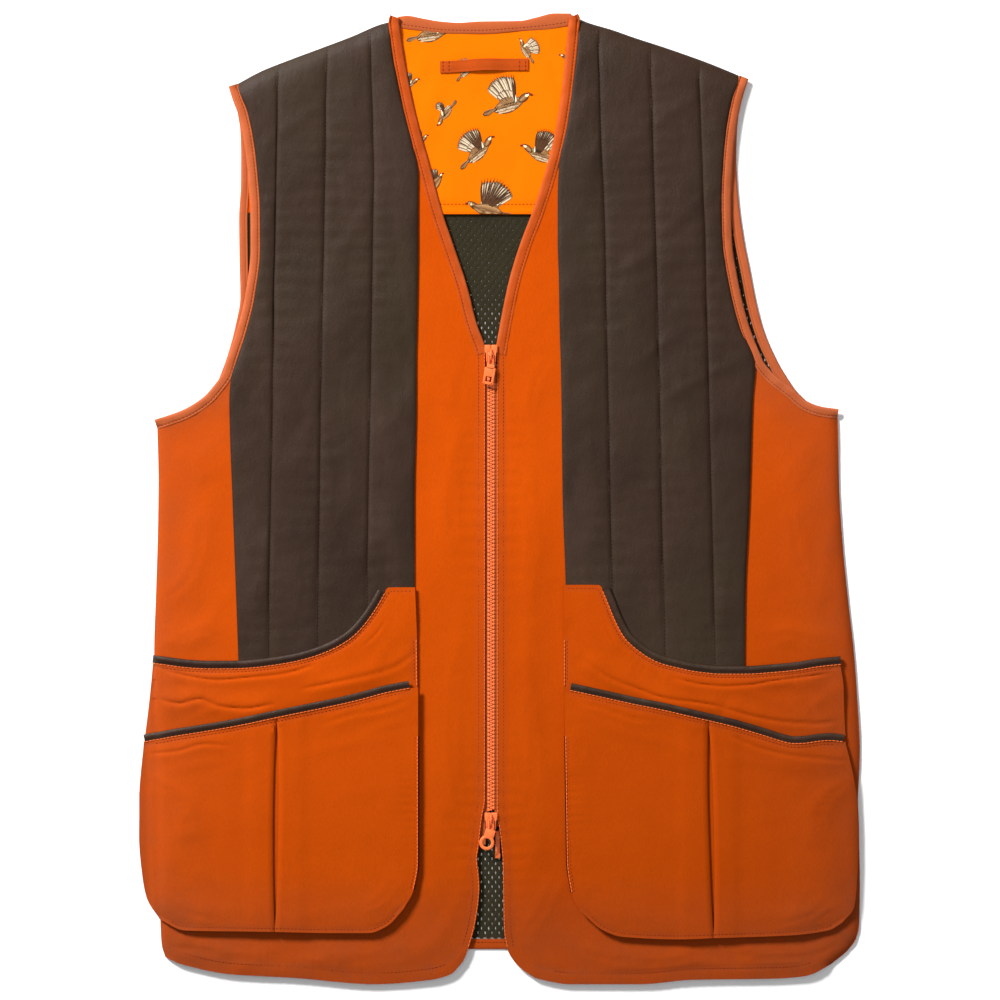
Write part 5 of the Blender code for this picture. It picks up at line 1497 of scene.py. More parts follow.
@dataclass
class FrontPanel:
    """One twill front, turned at its side, hem and zip edge."""

    side: Side
    lay: Lay
    pitch: float = 3.3
    hem_width: float = 9.0
    zip_width: float = 5.2

    def __post_init__(self) -> None:
        """Looks up the panel's tables and works out its sewn lines."""
        self.cut = CUTS[self.side]
        rows = self.cut.front
        way = 1.0 if self.side is Side.RIGHT else -1.0
        self.zip_edge = between(ends(rows), -366, 118)
        self.zip_seam = seam_beside(self.zip_edge, 12.0, way * self.zip_width)
        self.hem_edge = self.cut.hem
        self.hem_seam = seam_beside(self.hem_edge, 14.0, self.hem_width)

    def top(self, across: Array, up: Array) -> Array:
        """Height of the face, with the turned hem and the facing of the zip."""
        face = self.lay.front_top(across, up)
        hem_gap = away(across, up, self.hem_edge)
        face = face + 0.35 * ease((self.hem_width + 0.6 - hem_gap) / 1.2)
        zip_gap = away(across, up, self.zip_edge)
        face = face + 0.3 * ease((self.zip_width + 0.6 - zip_gap) / 1.2)
        face = face + 0.6 * pucker(across, up, self.hem_seam, 7.5, 6.0, 31)
        face = face + 0.4 * pucker(across, up, self.zip_seam, 11.0, 5.0, 33)
        face = face - 0.3 * groove(across, up, self.hem_seam, 0.9)
        return face - 0.28 * groove(across, up, self.zip_seam, 0.9)

    def build(self) -> Piece:
        """Builds the panel."""
        rows = self.cut.front
        near_shoulder = [slid_down(row, rows, SHOULDER_DROP) for row in rows[-3:]]
        lines = row_lines(rows[:-3] + near_shoulder, self.pitch)
        shares = edge_shares(lines, self.pitch)
        across, up = spread(
            lines, shares, foot=self.cut.hem, head=lowered(self.cut.shoulder), reach=(45.0, 60.0)
        )
        low = self.lay.front_under(across, up)
        top = self.top(across, up)
        seams = np.maximum(groove(across, up, self.hem_seam, 2.4), groove(across, up, self.zip_seam, 2.0))
        edges = np.minimum(away(across, up, self.hem_edge), away(across, up, self.zip_edge))
        outer = away(across, up, between(starts(rows), -400, 400))
        # Darker along the seams and edges; painted shade at the sides, where the cloth turns down, and towards
        # the hem.
        wear_and_shade = 0.35 * seams + 0.35 * np.exp(-edges / 2.2) + 0.75 * np.exp(-outer / 30.0)
        wear_and_shade = wear_and_shade + 0.6 * ease((-up - 290.0) / 70.0)
        return cloth_wall(f"{self.side.value}_front_twill", across, up, low, top, np.clip(wear_and_shade, 0, 1))

    def sew(self, needle: Needle) -> None:
        """Sews the hem and the zip edge, and lays a light line of painted highlight along the zip edge."""
        way = 1.0 if self.side is Side.RIGHT else -1.0
        needle.sew("orange_thread", self.zip_seam, self.top, 0.0)
        needle.sew("orange_thread", self.hem_seam[1:-1], self.top, 0.0)
        # A light line along the zip edge: painted highlight where the turned edge catches the light.
        needle.sew("turned", moved(smooth(self.zip_edge, 12.0), way * 0.5), self.top, 0.1, -0.4, 0.8)


@dataclass
class ShoulderPatch:
    """One leather shoulder patch, quilted in four long channels."""

    side: Side
    lay: Lay
    columns: int = 12
    pitch: float = 3.6
    groove_half: float = 1.1

    def __post_init__(self) -> None:
        """Looks up the patch's tables."""
        self.cut = CUTS[self.side]

    def seam(self, number: int) -> list[Spot]:
        """The line of one quilting seam, 1 to 3, or of an edge, 0 and 4."""
        rows = sorted(self.cut.quilt)
        return [Spot(row[number + 1], row.up) for row in rows]

    def places(self) -> tuple[Array, Array, Array, Array]:
        """Across, up, each column's share of its channel, and each row's middle."""
        ramp = np.linspace(0, 1, self.columns + 1)
        ramp = ramp - 0.075 * np.sin(2 * math.tau * ramp / 2)
        share = np.concatenate([channel + ramp[:-1] for channel in range(4)] + [[4.0]])
        lines = row_lines(self.cut.patch, self.pitch)
        table = np.asarray(sorted(self.cut.quilt), float)
        up = lines[:, 1:2] * (1 - share / 4) + lines[:, 3:4] * share / 4
        edges = [read(table[:, 0], table[:, column], up) for column in range(1, 6)]
        inward = math.copysign(0.5, edges[4][0, 0] - edges[0][0, 0])
        edges[0] = edges[0] + inward
        edges[4] = edges[4] - inward
        channel = np.minimum(share.astype(int), 3)
        part = share - channel
        stack = np.stack(edges)
        index = np.arange(len(share))
        across = stack[channel, :, index].T * (1 - part) + stack[channel + 1, :, index].T * part
        middle = (lines[:, 1] + lines[:, 3]) / 2
        up = bent(across, up, middle, 0, self.cut.patch_foot, 120.0)
        up = bent(across, up, middle, -1, self.cut.shoulder, 60.0)
        return across, up, part, middle

    def build(self) -> Piece:
        """Builds the patch: its face swells between the seams."""
        across, up, part, middle = self.places()
        low = self.lay.patch_under(across, up, self.cut.shoulder)
        ends_fade = ease((middle - middle[0] - 25.0) / 45.0) * ease((middle[-1] - middle - 3.0) / 20.0)
        seam_gap = np.minimum(part, 1.0 - part) * 38.0
        fine = 1.0 - np.exp(-((seam_gap / self.groove_half) ** 2))
        soft = 1.0 - np.exp(-seam_gap / 7.0)
        puff = QUILT_PUFF * (0.5 * fine + 0.5 * soft) * ends_fade[:, None]
        gathers = np.zeros(across.shape)
        for number in (1, 2, 3):
            gathers += 0.45 * pucker(across, up, self.seam(number), 12.0, 6.0, 40 + number)
        seed = 51 if self.side is Side.LEFT else 52
        rolls = 0.34 * (1.0 + unevenness(across, up, 46.0, seed))
        rolls = rolls + 0.12 * (1.0 + unevenness(across, up, 17.0, seed + 4))
        inside = ease(away(across, up, self.cut.shoulder) / 12.0)
        sunk = 0.25 * (1.0 - fine)
        long = 1.5 * swell(across, up, PATCH_CREASES)
        top = low + LEATHER + puff + (gathers + rolls * soft + long * fine) * inside - sunk * inside
        wear_and_shade = np.tile(0.8 * np.exp(-((seam_gap / 1.0) ** 2)), (len(across), 1))
        return cloth_wall(f"{self.side.value}_shoulder_leather", across, up, low, top, wear_and_shade)

    def face(self, across: Array, up: Array) -> Array:
        """Height of the face at its seams."""
        return self.lay.patch_under(across, up, self.cut.shoulder) + LEATHER - 0.2

    def sew(self, needle: Needle) -> None:
        """Sews the three quilting seams, from the pocket to a little short of the shoulder."""
        for number in (1, 2, 3):
            line = self.seam(number)
            across = np.array([spot.across for spot in line])
            head = read_spots(self.cut.shoulder, across)[-1]
            foot = read_spots(self.cut.pocket_top, across)[0]
            up = np.linspace(foot - 2.0, head - 3.0, 40)
            seam = np.column_stack([read([s.up for s in line], across, up), up])
            needle.sew("brown_thread", seam, self.face)


@dataclass
class EdgeBinding:
    """The folded tape along one edge of a front."""

    side: Side
    edge: str
    lay: Lay

    def __post_init__(self) -> None:
        """Finds the line it is sewn along."""
        cut = CUTS[self.side]
        right = self.side is Side.RIGHT
        if self.edge == "armhole":
            line = between(starts(cut.front), 53 if right else 52, 400)
            self.width = 7.2 if right else -7.2
            leather = [Spot(row.outer, row.up) for row in sorted(cut.quilt) if row.up > 100]
        else:
            foot, head = (
                (Spot(-17.4, 114.8), Spot(-86.6, 386.2)) if right else (Spot(4.2, 114.8), Spot(62.0, 387.2))
            )
            line = [foot] + between(ends(cut.front), 118, 400) + [head]
            self.width = -BINDING_WIDTH if right else BINDING_WIDTH
            leather = [Spot(row.inner, row.up) for row in sorted(cut.quilt) if row.up > 265]
        self.line = moved(smooth(line, 3.0), -0.06 * self.width)
        self.width *= 1.06
        self.leather = leather

    def low(self, across: Array, up: Array) -> Array:
        """Height of its underside."""
        return self.lay.front_under(across, up) - 0.3

    def high(self, across: Array, up: Array) -> Array:
        """Height of its crown, a little higher where it folds over the leather."""
        over = 1.0 - ease((away(across, up, self.leather) - 2.0) / 7.0)
        ripple = 0.25 * unevenness(across, up, 16.0, 61)
        at_neck = 1.7 * ease((up - 368.0) / 9.0) if self.edge == "neck" else 0.0
        return self.lay.front_top(across, up) + 0.6 + 1.0 * over + ripple + at_neck

    def build(self) -> Piece:
        """Builds the tape."""
        return tape(f"{self.side.value}_{self.edge}_tape", self.line, self.width, self.low, self.high)

    def sew(self, needle: Needle) -> None:
        """Sews it near its seam."""
        line = moved(self.line, 0.19 * self.width)
        top = lambda across, up: self.low(across, up) + 0.8 * (self.high(across, up) - self.low(across, up))
        needle.sew("orange_thread", line[1:-1], top)


class Bird(NamedTuple):
    """Where one printed bird flies, how long it is, and how its wing is spread."""

    across: float
    up: float
    size: float
    turn: float
    way: int
    first: float
    last: float
    wing: float


BIRDS = [Bird(*row) for row in ((-55, 371, 35, 4, 1, 70, 130, 0.9), (21, 358.5, 21, -50, -1, 76, 134, 0.95),
    (-27, 342, 19, 38, 1, 60, 120, 0.9), (7.5, 315, 39, 12, 1, 82, 122, 1.05), (-74, 331, 21, 14, 1, 70, 130,
    0.8), (-43, 308.5, 23, -138, 1, -128, -66, 0.9), (-17, 277, 34, 34, 1, 70, 124, 0.95), (32.5, 275, 33,
    -14, -1, 84, 122, 1.05), (-65, 284, 20, 30, 1, 60, 120, 0.9), (-52, 251.5, 22, 40, 1, 50, 116, 0.9), (-9,
    230.5, 36, -5, -1, 84, 138, 1.2), (57.5, 351.5, 20, -8, -1, 70, 126, 0.9))]


@dataclass
class BirdPrint:
    """Small game birds printed on the lining, each drawn with leaf-shaped strokes."""

    lining_top: Height
    lift: float = 0.05
    layers: int = 69
    dark: Colour = (0.020, 0.009, 0.005)
    brown: Colour = (0.14, 0.062, 0.028)
    tan: Colour = (0.42, 0.23, 0.095)
    cream: Colour = (0.93, 0.76, 0.52)
    red: Colour = (0.22, 0.016, 0.008)
    points: list[Array] = field(default_factory=list)
    faces: list[list[int]] = field(default_factory=list)
    colours: list[Array] = field(default_factory=list)
    strokes: int = 0

    def stroke(self, bird: Bird, root: tuple[float, float], turn: float, length: float, width: float,
        tones: tuple[Colour, Colour, Colour], bend: float = 0.0, blunt: bool = False) -> None:
        """Adds one leaf-shaped stroke to a bird.

        Args:
            bird: The bird it belongs to.
            root: Where the stroke starts, as shares of the bird's length.
            turn: Its direction in degrees, from straight ahead of the bird.
            length: Its length, as a share of the bird's.
            width: Its width, as a share of the bird's length.
            tones: The colours of its outline, its face and its middle line.
            bend: How much its direction turns by its tip.
            blunt: Whether it is a feather, full to its rounded tip.
        """
        share = np.linspace(0.0, 1.0, 8)
        angle = np.radians(turn + bend * share)
        step = np.stack([np.cos(angle), np.sin(angle)], axis=1)
        spine = np.asarray(root) + np.concatenate([[[0.0, 0.0]], np.cumsum(step[:-1], axis=0)]) * length / 7
        leaf = np.sin(math.pi * (0.05 + 0.9 * share) ** 0.85)
        feather = (0.28 + 0.72 * share) * np.sqrt(1.0 - 0.97 * share**7)
        half = width / 2 * (feather if blunt else leaf)
        sides = np.array([-1.0, -0.66, 0.0, 0.66, 1.0])
        aside = np.stack([-step[:, 1], step[:, 0]], axis=1)
        places = spine[:, None, :] + aside[:, None, :] * (half[:, None] * sides)[..., None]
        places = places * (bird.size * bird.way, bird.size)
        turned = math.radians(bird.turn)
        across = bird.across + places[..., 0] * math.cos(turned) - places[..., 1] * math.sin(turned)
        up = bird.up + places[..., 0] * math.sin(turned) + places[..., 1] * math.cos(turned)
        up = np.clip(up, 228.0, read_spots(LINING_HEAD, across) - 0.3)
        high = self.lining_top(across, up) + self.lift + 0.006 * (self.strokes % self.layers)
        number = 40 * self.strokes + np.arange(40).reshape(8, 5)
        quads = np.stack(
            [number[:-1, :-1], number[1:, :-1], number[1:, 1:], number[:-1, 1:]], axis=2
        ).reshape(-1, 4)
        self.faces += (quads if bird.way < 0 else quads[:, ::-1]).tolist()
        self.points.append(sheet(across, up, high).reshape(-1, 3))
        row = np.array([tones[0], tones[1], tones[2], tones[1], tones[0]])
        fade = np.where((share < 0.07) | (share > 0.9), 1.0, 0.25 * share)[:, None, None]
        self.colours.append((row * (1 - fade) + np.array(tones[0]) * fade).reshape(-1, 3))
        self.strokes += 1

    def fan(self, bird: Bird, root: tuple[float, float], reach: float, turns: tuple[float, float], count: int,
        size: tuple[float, float], tones: tuple[Colour, Colour, Colour], blunt: bool = True) -> None:
        """Adds a fan of strokes.

        Args:
            bird: The bird they belong to.
            root: Where the first stroke starts.
            reach: How far back the last stroke starts.
            turns: The directions of the first and the last stroke.
            count: How many strokes there are.
            size: The length and width of a stroke.
            tones: The colours of a stroke.
            blunt: Whether they are feathers with rounded tips.
        """
        for number in range(count):
            share = number / (count - 1)
            turn = turns[0] + share * (turns[1] - turns[0])
            longer = size[0] * (0.82 + 0.24 * math.sin(math.pi * (0.15 + 0.75 * share)))
            face = tones if number % 3 else (tones[0], tones[2], tones[1])
            self.stroke(bird, (root[0] - reach * share, root[1]), turn, longer, size[1], face, 7.0, blunt)

    def draw(self, bird: Bird) -> None:
        """Draws one bird: tail, far wing, body, near wing and head."""
        dark, brown, tan, cream = self.dark, self.brown, self.tan, self.cream
        first, last, wing = bird.first, bird.last, bird.wing
        self.fan(bird, (-0.26, -0.02), 0.0, (184, 198), 4, (0.30, 0.075), (dark, brown, tan))
        self.fan(
            bird, (0.13, 0.04), 0.16, (first - 4, last), 13, (0.57 * wing, 0.03), (dark, brown, dark), False
        )
        self.stroke(bird, (-0.32, -0.06), 10, 0.70, 0.31, (dark, tan, brown))
        self.fan(bird, (0.24, 0.01), 0.46, (178, 204), 8, (0.13, 0.075), (dark, brown, tan))
        self.fan(bird, (0.20, -0.06), 0.40, (172, 192), 7, (0.12, 0.06), (dark, cream, brown))
        self.fan(bird, (0.10, -0.12), 0.26, (174, 188), 5, (0.10, 0.04), (brown, cream, tan))
        self.fan(bird, (0.13, 0.03), 0.20, (first, last), 11, (0.52 * wing, 0.15), (dark, cream, brown))
        self.fan(
            bird, (0.12, 0.03), 0.18, (first + 12, last - 2), 7, (0.27 * wing, 0.11), (dark, cream, brown)
        )
        self.fan(bird, (0.10, 0.02), 0.18, (first + 20, last + 6), 6, (0.15 * wing, 0.08), (dark, tan, brown))
        self.stroke(bird, (0.15, 0.01), first + 6, 0.26 * wing, 0.07, (dark, cream, cream), 14.0)
        self.stroke(bird, (0.22, 0.02), 30, 0.28, 0.15, (dark, brown, tan))
        self.stroke(bird, (0.36, 0.10), 18, 0.10, 0.065, (tan, cream, cream))
        self.stroke(bird, (0.45, 0.13), -22, 0.09, 0.045, (dark, self.red, self.red))
        self.stroke(bird, (0.40, 0.145), 0, 0.03, 0.026, (dark, dark, dark))

    def build(self) -> Piece:
        """Builds the whole print as one thin piece."""
        for bird in BIRDS:
            self.draw(bird)
        piece = new_piece("bird_print", np.concatenate(self.points), self.faces, 180.0)
        colours = np.concatenate(self.colours)
        ink = piece.data.color_attributes.new("ink", "FLOAT_COLOR", "POINT")
        ink.data.foreach_set(
            "color", np.column_stack([colours, np.ones(len(colours))]).astype(np.float32).ravel()
        )
        return piece


def turned_and_taken(piece: Piece, turn: float, about: float) -> Shape:
    """Turns a modelled shape about the vertical through a point up the zip, and takes it."""
    if turn:
        bpy.ops.transform.rotate(
            value=-math.radians(turn), orient_axis="Z", center_override=(0, about * MM, 0)
        )
    let_go()
    return taken(piece)


def block(size: Triple, place: Triple, edge: float, turn: float = 0.0, about: float = 0.0,
    taper: float = 1.0) -> Shape:
    """A moulded block with rounded edges.

    Args:
        size: Its width, length and height.
        place: Its middle.
        edge: How much its edges are rounded.
        turn: How far it is turned about the vertical, in degrees.
        about: The place up the zip that it turns about.
        taper: The width of its foot as a share of its head's.

    Returns:
        Its points and faces.
    """
    let_go()
    bpy.ops.mesh.primitive_cube_add(size=MM)
    piece = in_hand("block")
    bpy.ops.object.mode_set(mode="EDIT")
    bpy.ops.mesh.select_all(action="SELECT")
    bpy.ops.transform.resize(value=size, center_override=(0, 0, 0))
    bpy.ops.transform.translate(value=tuple(value * MM for value in place))
    if taper != 1.0:
        bpy.ops.object.mode_set(mode="OBJECT")
        for vertex in piece.data.vertices:
            vertex.select = vertex.co.y < place[1] * MM
        bpy.ops.object.mode_set(mode="EDIT")
        bpy.ops.transform.resize(value=(taper, 1, 1), center_override=(place[0] * MM, 0, 0))
        bpy.ops.mesh.select_all(action="SELECT")
    bpy.ops.mesh.bevel(offset=edge * MM, segments=2)
    bpy.ops.mesh.select_all(action="SELECT")
    return turned_and_taken(piece, turn, about)


def ring(radius: float, wire: float, place: Triple, flat: float, turn: float = 0.0, about: float = 0.0,
    upright: bool = False) -> Shape:
    """A moulded ring.

    Args:
        radius: From its middle to the middle of its wire.
        wire: Half the wire's thickness.
        place: Its middle.
        flat: Its height as a share of a round ring's.
        turn: How far it is turned about the vertical, in degrees.
        about: The place up the zip that it turns about.
        upright: Whether it stands along the zip.

    Returns:
        Its points and faces.
    """
    let_go()
    bpy.ops.mesh.primitive_torus_add(major_radius=radius * MM, minor_radius=wire * MM, major_segments=32,
        minor_segments=12)
    piece = in_hand("ring")
    bpy.ops.object.mode_set(mode="EDIT")
    bpy.ops.mesh.select_all(action="SELECT")
    if upright:
        bpy.ops.transform.rotate(value=math.pi / 2, orient_axis="Y", center_override=(0, 0, 0))
    bpy.ops.transform.resize(value=(1, 1, flat), center_override=(0, 0, 0))
    bpy.ops.transform.translate(value=tuple(value * MM for value in place))
    return turned_and_taken(piece, turn, about)


def joined_shapes(shapes: Sequence[Shape]) -> Shape:
    """Several modelled shapes as one."""
    faces, count = [], 0
    for part, sides in shapes:
        faces += [[corner + count for corner in side] for side in sides]
        count += len(part)
    return np.concatenate([part for part, _ in shapes]), faces


def joined(name: str, shapes: Sequence[Shape], shift: Triple = (0.0, 0.0, 0.0)) -> Piece:
    """One piece from several modelled shapes, moved to its place."""
    points, faces = joined_shapes(shapes)
    return new_piece(name, points + shift, faces, 35.0)


@dataclass
class Zip:
    """The moulded zip: two tapes, interleaved teeth, two sliders with pulls, and the pin."""

    half: float = 2.8
    pitch: float = 3.0
    foot: float = -250.0
    head: float = 106.4
    plate: float = 6.0
    hinge_high: float = 7.8

    def build_tape(self, side: Side) -> Piece:
        """Builds one woven tape beside the teeth."""
        way, foot = (-1.0, -277.0) if side is Side.RIGHT else (1.0, -262.5)
        outer, by_chain = ZIP_MIDDLE + way * 15.0, ZIP_MIDDLE + way * (self.half - 0.4)
        by_slider = ZIP_MIDDLE + way * (self.half + 1.6)
        rows = sections((outer, foot, by_slider, foot), (outer, -252, by_slider, -252),
            (outer, -250, by_chain, -250), (outer, 106, by_chain, 106), (outer, 107, by_slider, 107),
            (outer, 118, by_slider, 118))
        lines = row_lines(rows, 4.0)
        across, up = spread(lines, np.linspace(0, 1, 9))
        cord = 0.35 * np.exp(-(((across - by_chain) / 1.2) ** 2))
        top = 2.7 + cord + 0.06 * unevenness(across, up, 18.0, 97)
        return cloth_wall(f"{side.value}_zip_cloth", across, up, 1.4, top)

    def build_teeth(self) -> Piece:
        """Builds the teeth of both sides, each side's between the other's."""
        stem = block((3.7, 1.2, 2.3), (0.0, 0.0, 0.0), 0.3)
        tooth = joined_shapes([stem, block((1.7, 2.5, 2.0), (1.05, 0.0, 0.0), 0.3)])
        up = np.arange(self.foot + 1.0, self.head, self.pitch / 2)
        side = np.where(np.arange(len(up)) % 2, 1.0, -1.0)
        places = np.column_stack([ZIP_MIDDLE + 0.95 * side, up, np.full(len(up), 2.8)])
        turns = side[:, None, None] * np.diag([1.0, 1.0, 0.0]) + np.diag([0.0, 0.0, 1.0])
        return repeated("zip_teeth", tooth, places, turns, 35.0)

    def build_slider(self, name: str, head: float, foot: float, hinge: float) -> Piece:
        """Builds one slider: a core, a plate with two shoulders, side walls and an arch.

        Args:
            name: The piece's name.
            head: The place of its upper end.
            foot: The place of its lower end.
            hinge: The place of its arch.

        Returns:
            The new piece.
        """
        middle, long = (head + foot) / 2, head - foot
        shapes = [block((8.2, long - 1.0, 4.2), (0, middle, 3.5), 0.5, taper=0.82),
            block((9.4, long * 0.8, 1.3), (0, foot + long * 0.4, self.plate), 0.4, taper=0.74),
            block((1.1, long * 0.6, 1.0), (-3.5, middle - 1.0, self.plate + 0.5), 0.3, 3.0, middle),
            block((1.1, long * 0.6, 1.0), (3.5, middle - 1.0, self.plate + 0.5), 0.3, -3.0, middle)]
        shapes += [block((4.9, 6.4, 1.4), (side * 2.7, head - 3.3, self.plate), 0.65) for side in (-1, 1)]
        shapes.append(ring(4.7, 0.62, (0, hinge, self.plate + 0.2), 0.72, upright=True))
        return joined(name, shapes, (ZIP_MIDDLE, 0.0, 0.0))

    def build_tab(self) -> Piece:
        """Builds the upper pull: a slotted stem and a plate with a window."""
        lean = (-9.6, -7.4)
        shapes = [block((4.6, 1.4, 1.2), (0, 0, 0), 0.3)]
        shapes += [block((1.15, 8.2, 1.2), (side * 1.72, -3.6, 0), 0.3) for side in (-1, 1)]
        shapes.append(block((6.2, 4.0, 1.2), (0, -9.2, 0), 0.45, *lean))
        shapes += [block((1.9, 13.6, 1.3), (side * 3.35, -16.8, 0), 0.45, *lean) for side in (-1, 1)]
        shapes.append(block((6.4, 7.2, 1.2), (0, -13.6, 0), 0.2, *lean))
        shapes.append(block((7.4, 2.2, 1.3), (0, -22.5, 0), 0.45, *lean))
        shapes.append(block((1.9, 1.9, 0.7), (0, -19.3, -0.1), 0.2, *lean))
        return joined("top_pull_plate", shapes, (ZIP_MIDDLE, 114.5, self.hinge_high))

    def build_ring(self) -> Piece:
        """Builds the lower pull: a slotted stem and a ring."""
        lean = (-17.7, -7.4)
        shapes = [block((4.6, 1.4, 1.2), (0, 0, 0), 0.3)]
        shapes += [block((1.15, 8.2, 1.2), (side * 1.72, -3.6, 0), 0.3) for side in (-1, 1)]
        shapes.append(block((4.6, 6.6, 1.2), (0, -10.8, 0), 0.45, *lean, taper=1.75))
        shapes.append(ring(4.7, 1.35, (0, -18.6, 0), 0.48, *lean))
        return joined("bottom_pull_loop", shapes, (ZIP_MIDDLE, -257.0, self.hinge_high))

    def build_pin(self) -> Piece:
        """Builds the pin that the lower ends are joined with."""
        shapes = [
            block((3.6, 22.0, 1.3), (-1.5, -277.0, 1.95), 0.5),
            block((4.4, 4.0, 1.6), (-1.5, -286.0, 2.0), 0.5),
        ]
        return joined("zip_insert_pin", shapes)

    def dress(self, finishes: Finishes) -> None:
        """Builds the whole zip, with its finishes, on its bodies."""
        for side in Side:
            tape_piece = carry(self.build_tape(side), finishes.arm_tape, "zip", f"{side.value}_zip_tape")
        carry(self.build_teeth(), finishes.zip, "zip", "zip_chain")
        carry(self.build_slider("upper_slider", 123.0, 107.0, 114.5), finishes.zip, "zip", "top_slider")
        carry(self.build_slider("lower_slider", -251.0, -266.0, -257.0), finishes.zip, "zip", "bottom_slider")
        carry(self.build_tab(), finishes.zip, "zip", "top_pull_tab", body="top_pull")
        carry(self.build_ring(), finishes.zip, "zip", "bottom_pull_ring", body="bottom_pull")
        carry(self.build_pin(), finishes.zip, "zip", "zip_pin")


@dataclass
class BackArmhole:
    """The folded tape along the back half of one armhole."""

    side: Side

    def build(self) -> Piece:
        """Builds the tape."""
        line = CUTS[self.side].back_armhole
        width = -6.4 if self.side is Side.RIGHT else 7.2
        inner = moved(smooth(line, 4.0), width)
        low = lambda across, up: np.full(np.shape(across), 0.05)
        high = lambda across, up: 2.0 + 0.1 * unevenness(across, up, 20.0, 63)
        return tape(f"{self.side.value}_back_armhole_tape", inner, -width, low, high)


@dataclass
class HemBand:
    """The turned hem of the net back."""

    def build(self) -> Piece:
        """Builds the band."""
        rows = sections((-248, -360.8, 262, -360.8), (-253, -357.5, 267, -357.5), (-255, -352.8, 269, -352.8))
        lines = row_lines(rows, 1.4)
        across, up = spread(lines, even_shares(lines, 5.0))
        round_over = 1.0 - 0.45 * np.exp(-(up + 360.8) / 0.8)
        top = (1.5 + 0.12 * unevenness(across, up, 22.0, 71)) * round_over
        return cloth_wall("back_hem_tape", across, up, 0.0, top)

    def sew(self, needle: Needle) -> None:
        """Sews it to the net."""
        line = spots((-252, HEM_STITCHES), (266, HEM_STITCHES))
        needle.sew("orange_thread", line, lambda across, up: np.full(np.shape(across), 1.5))


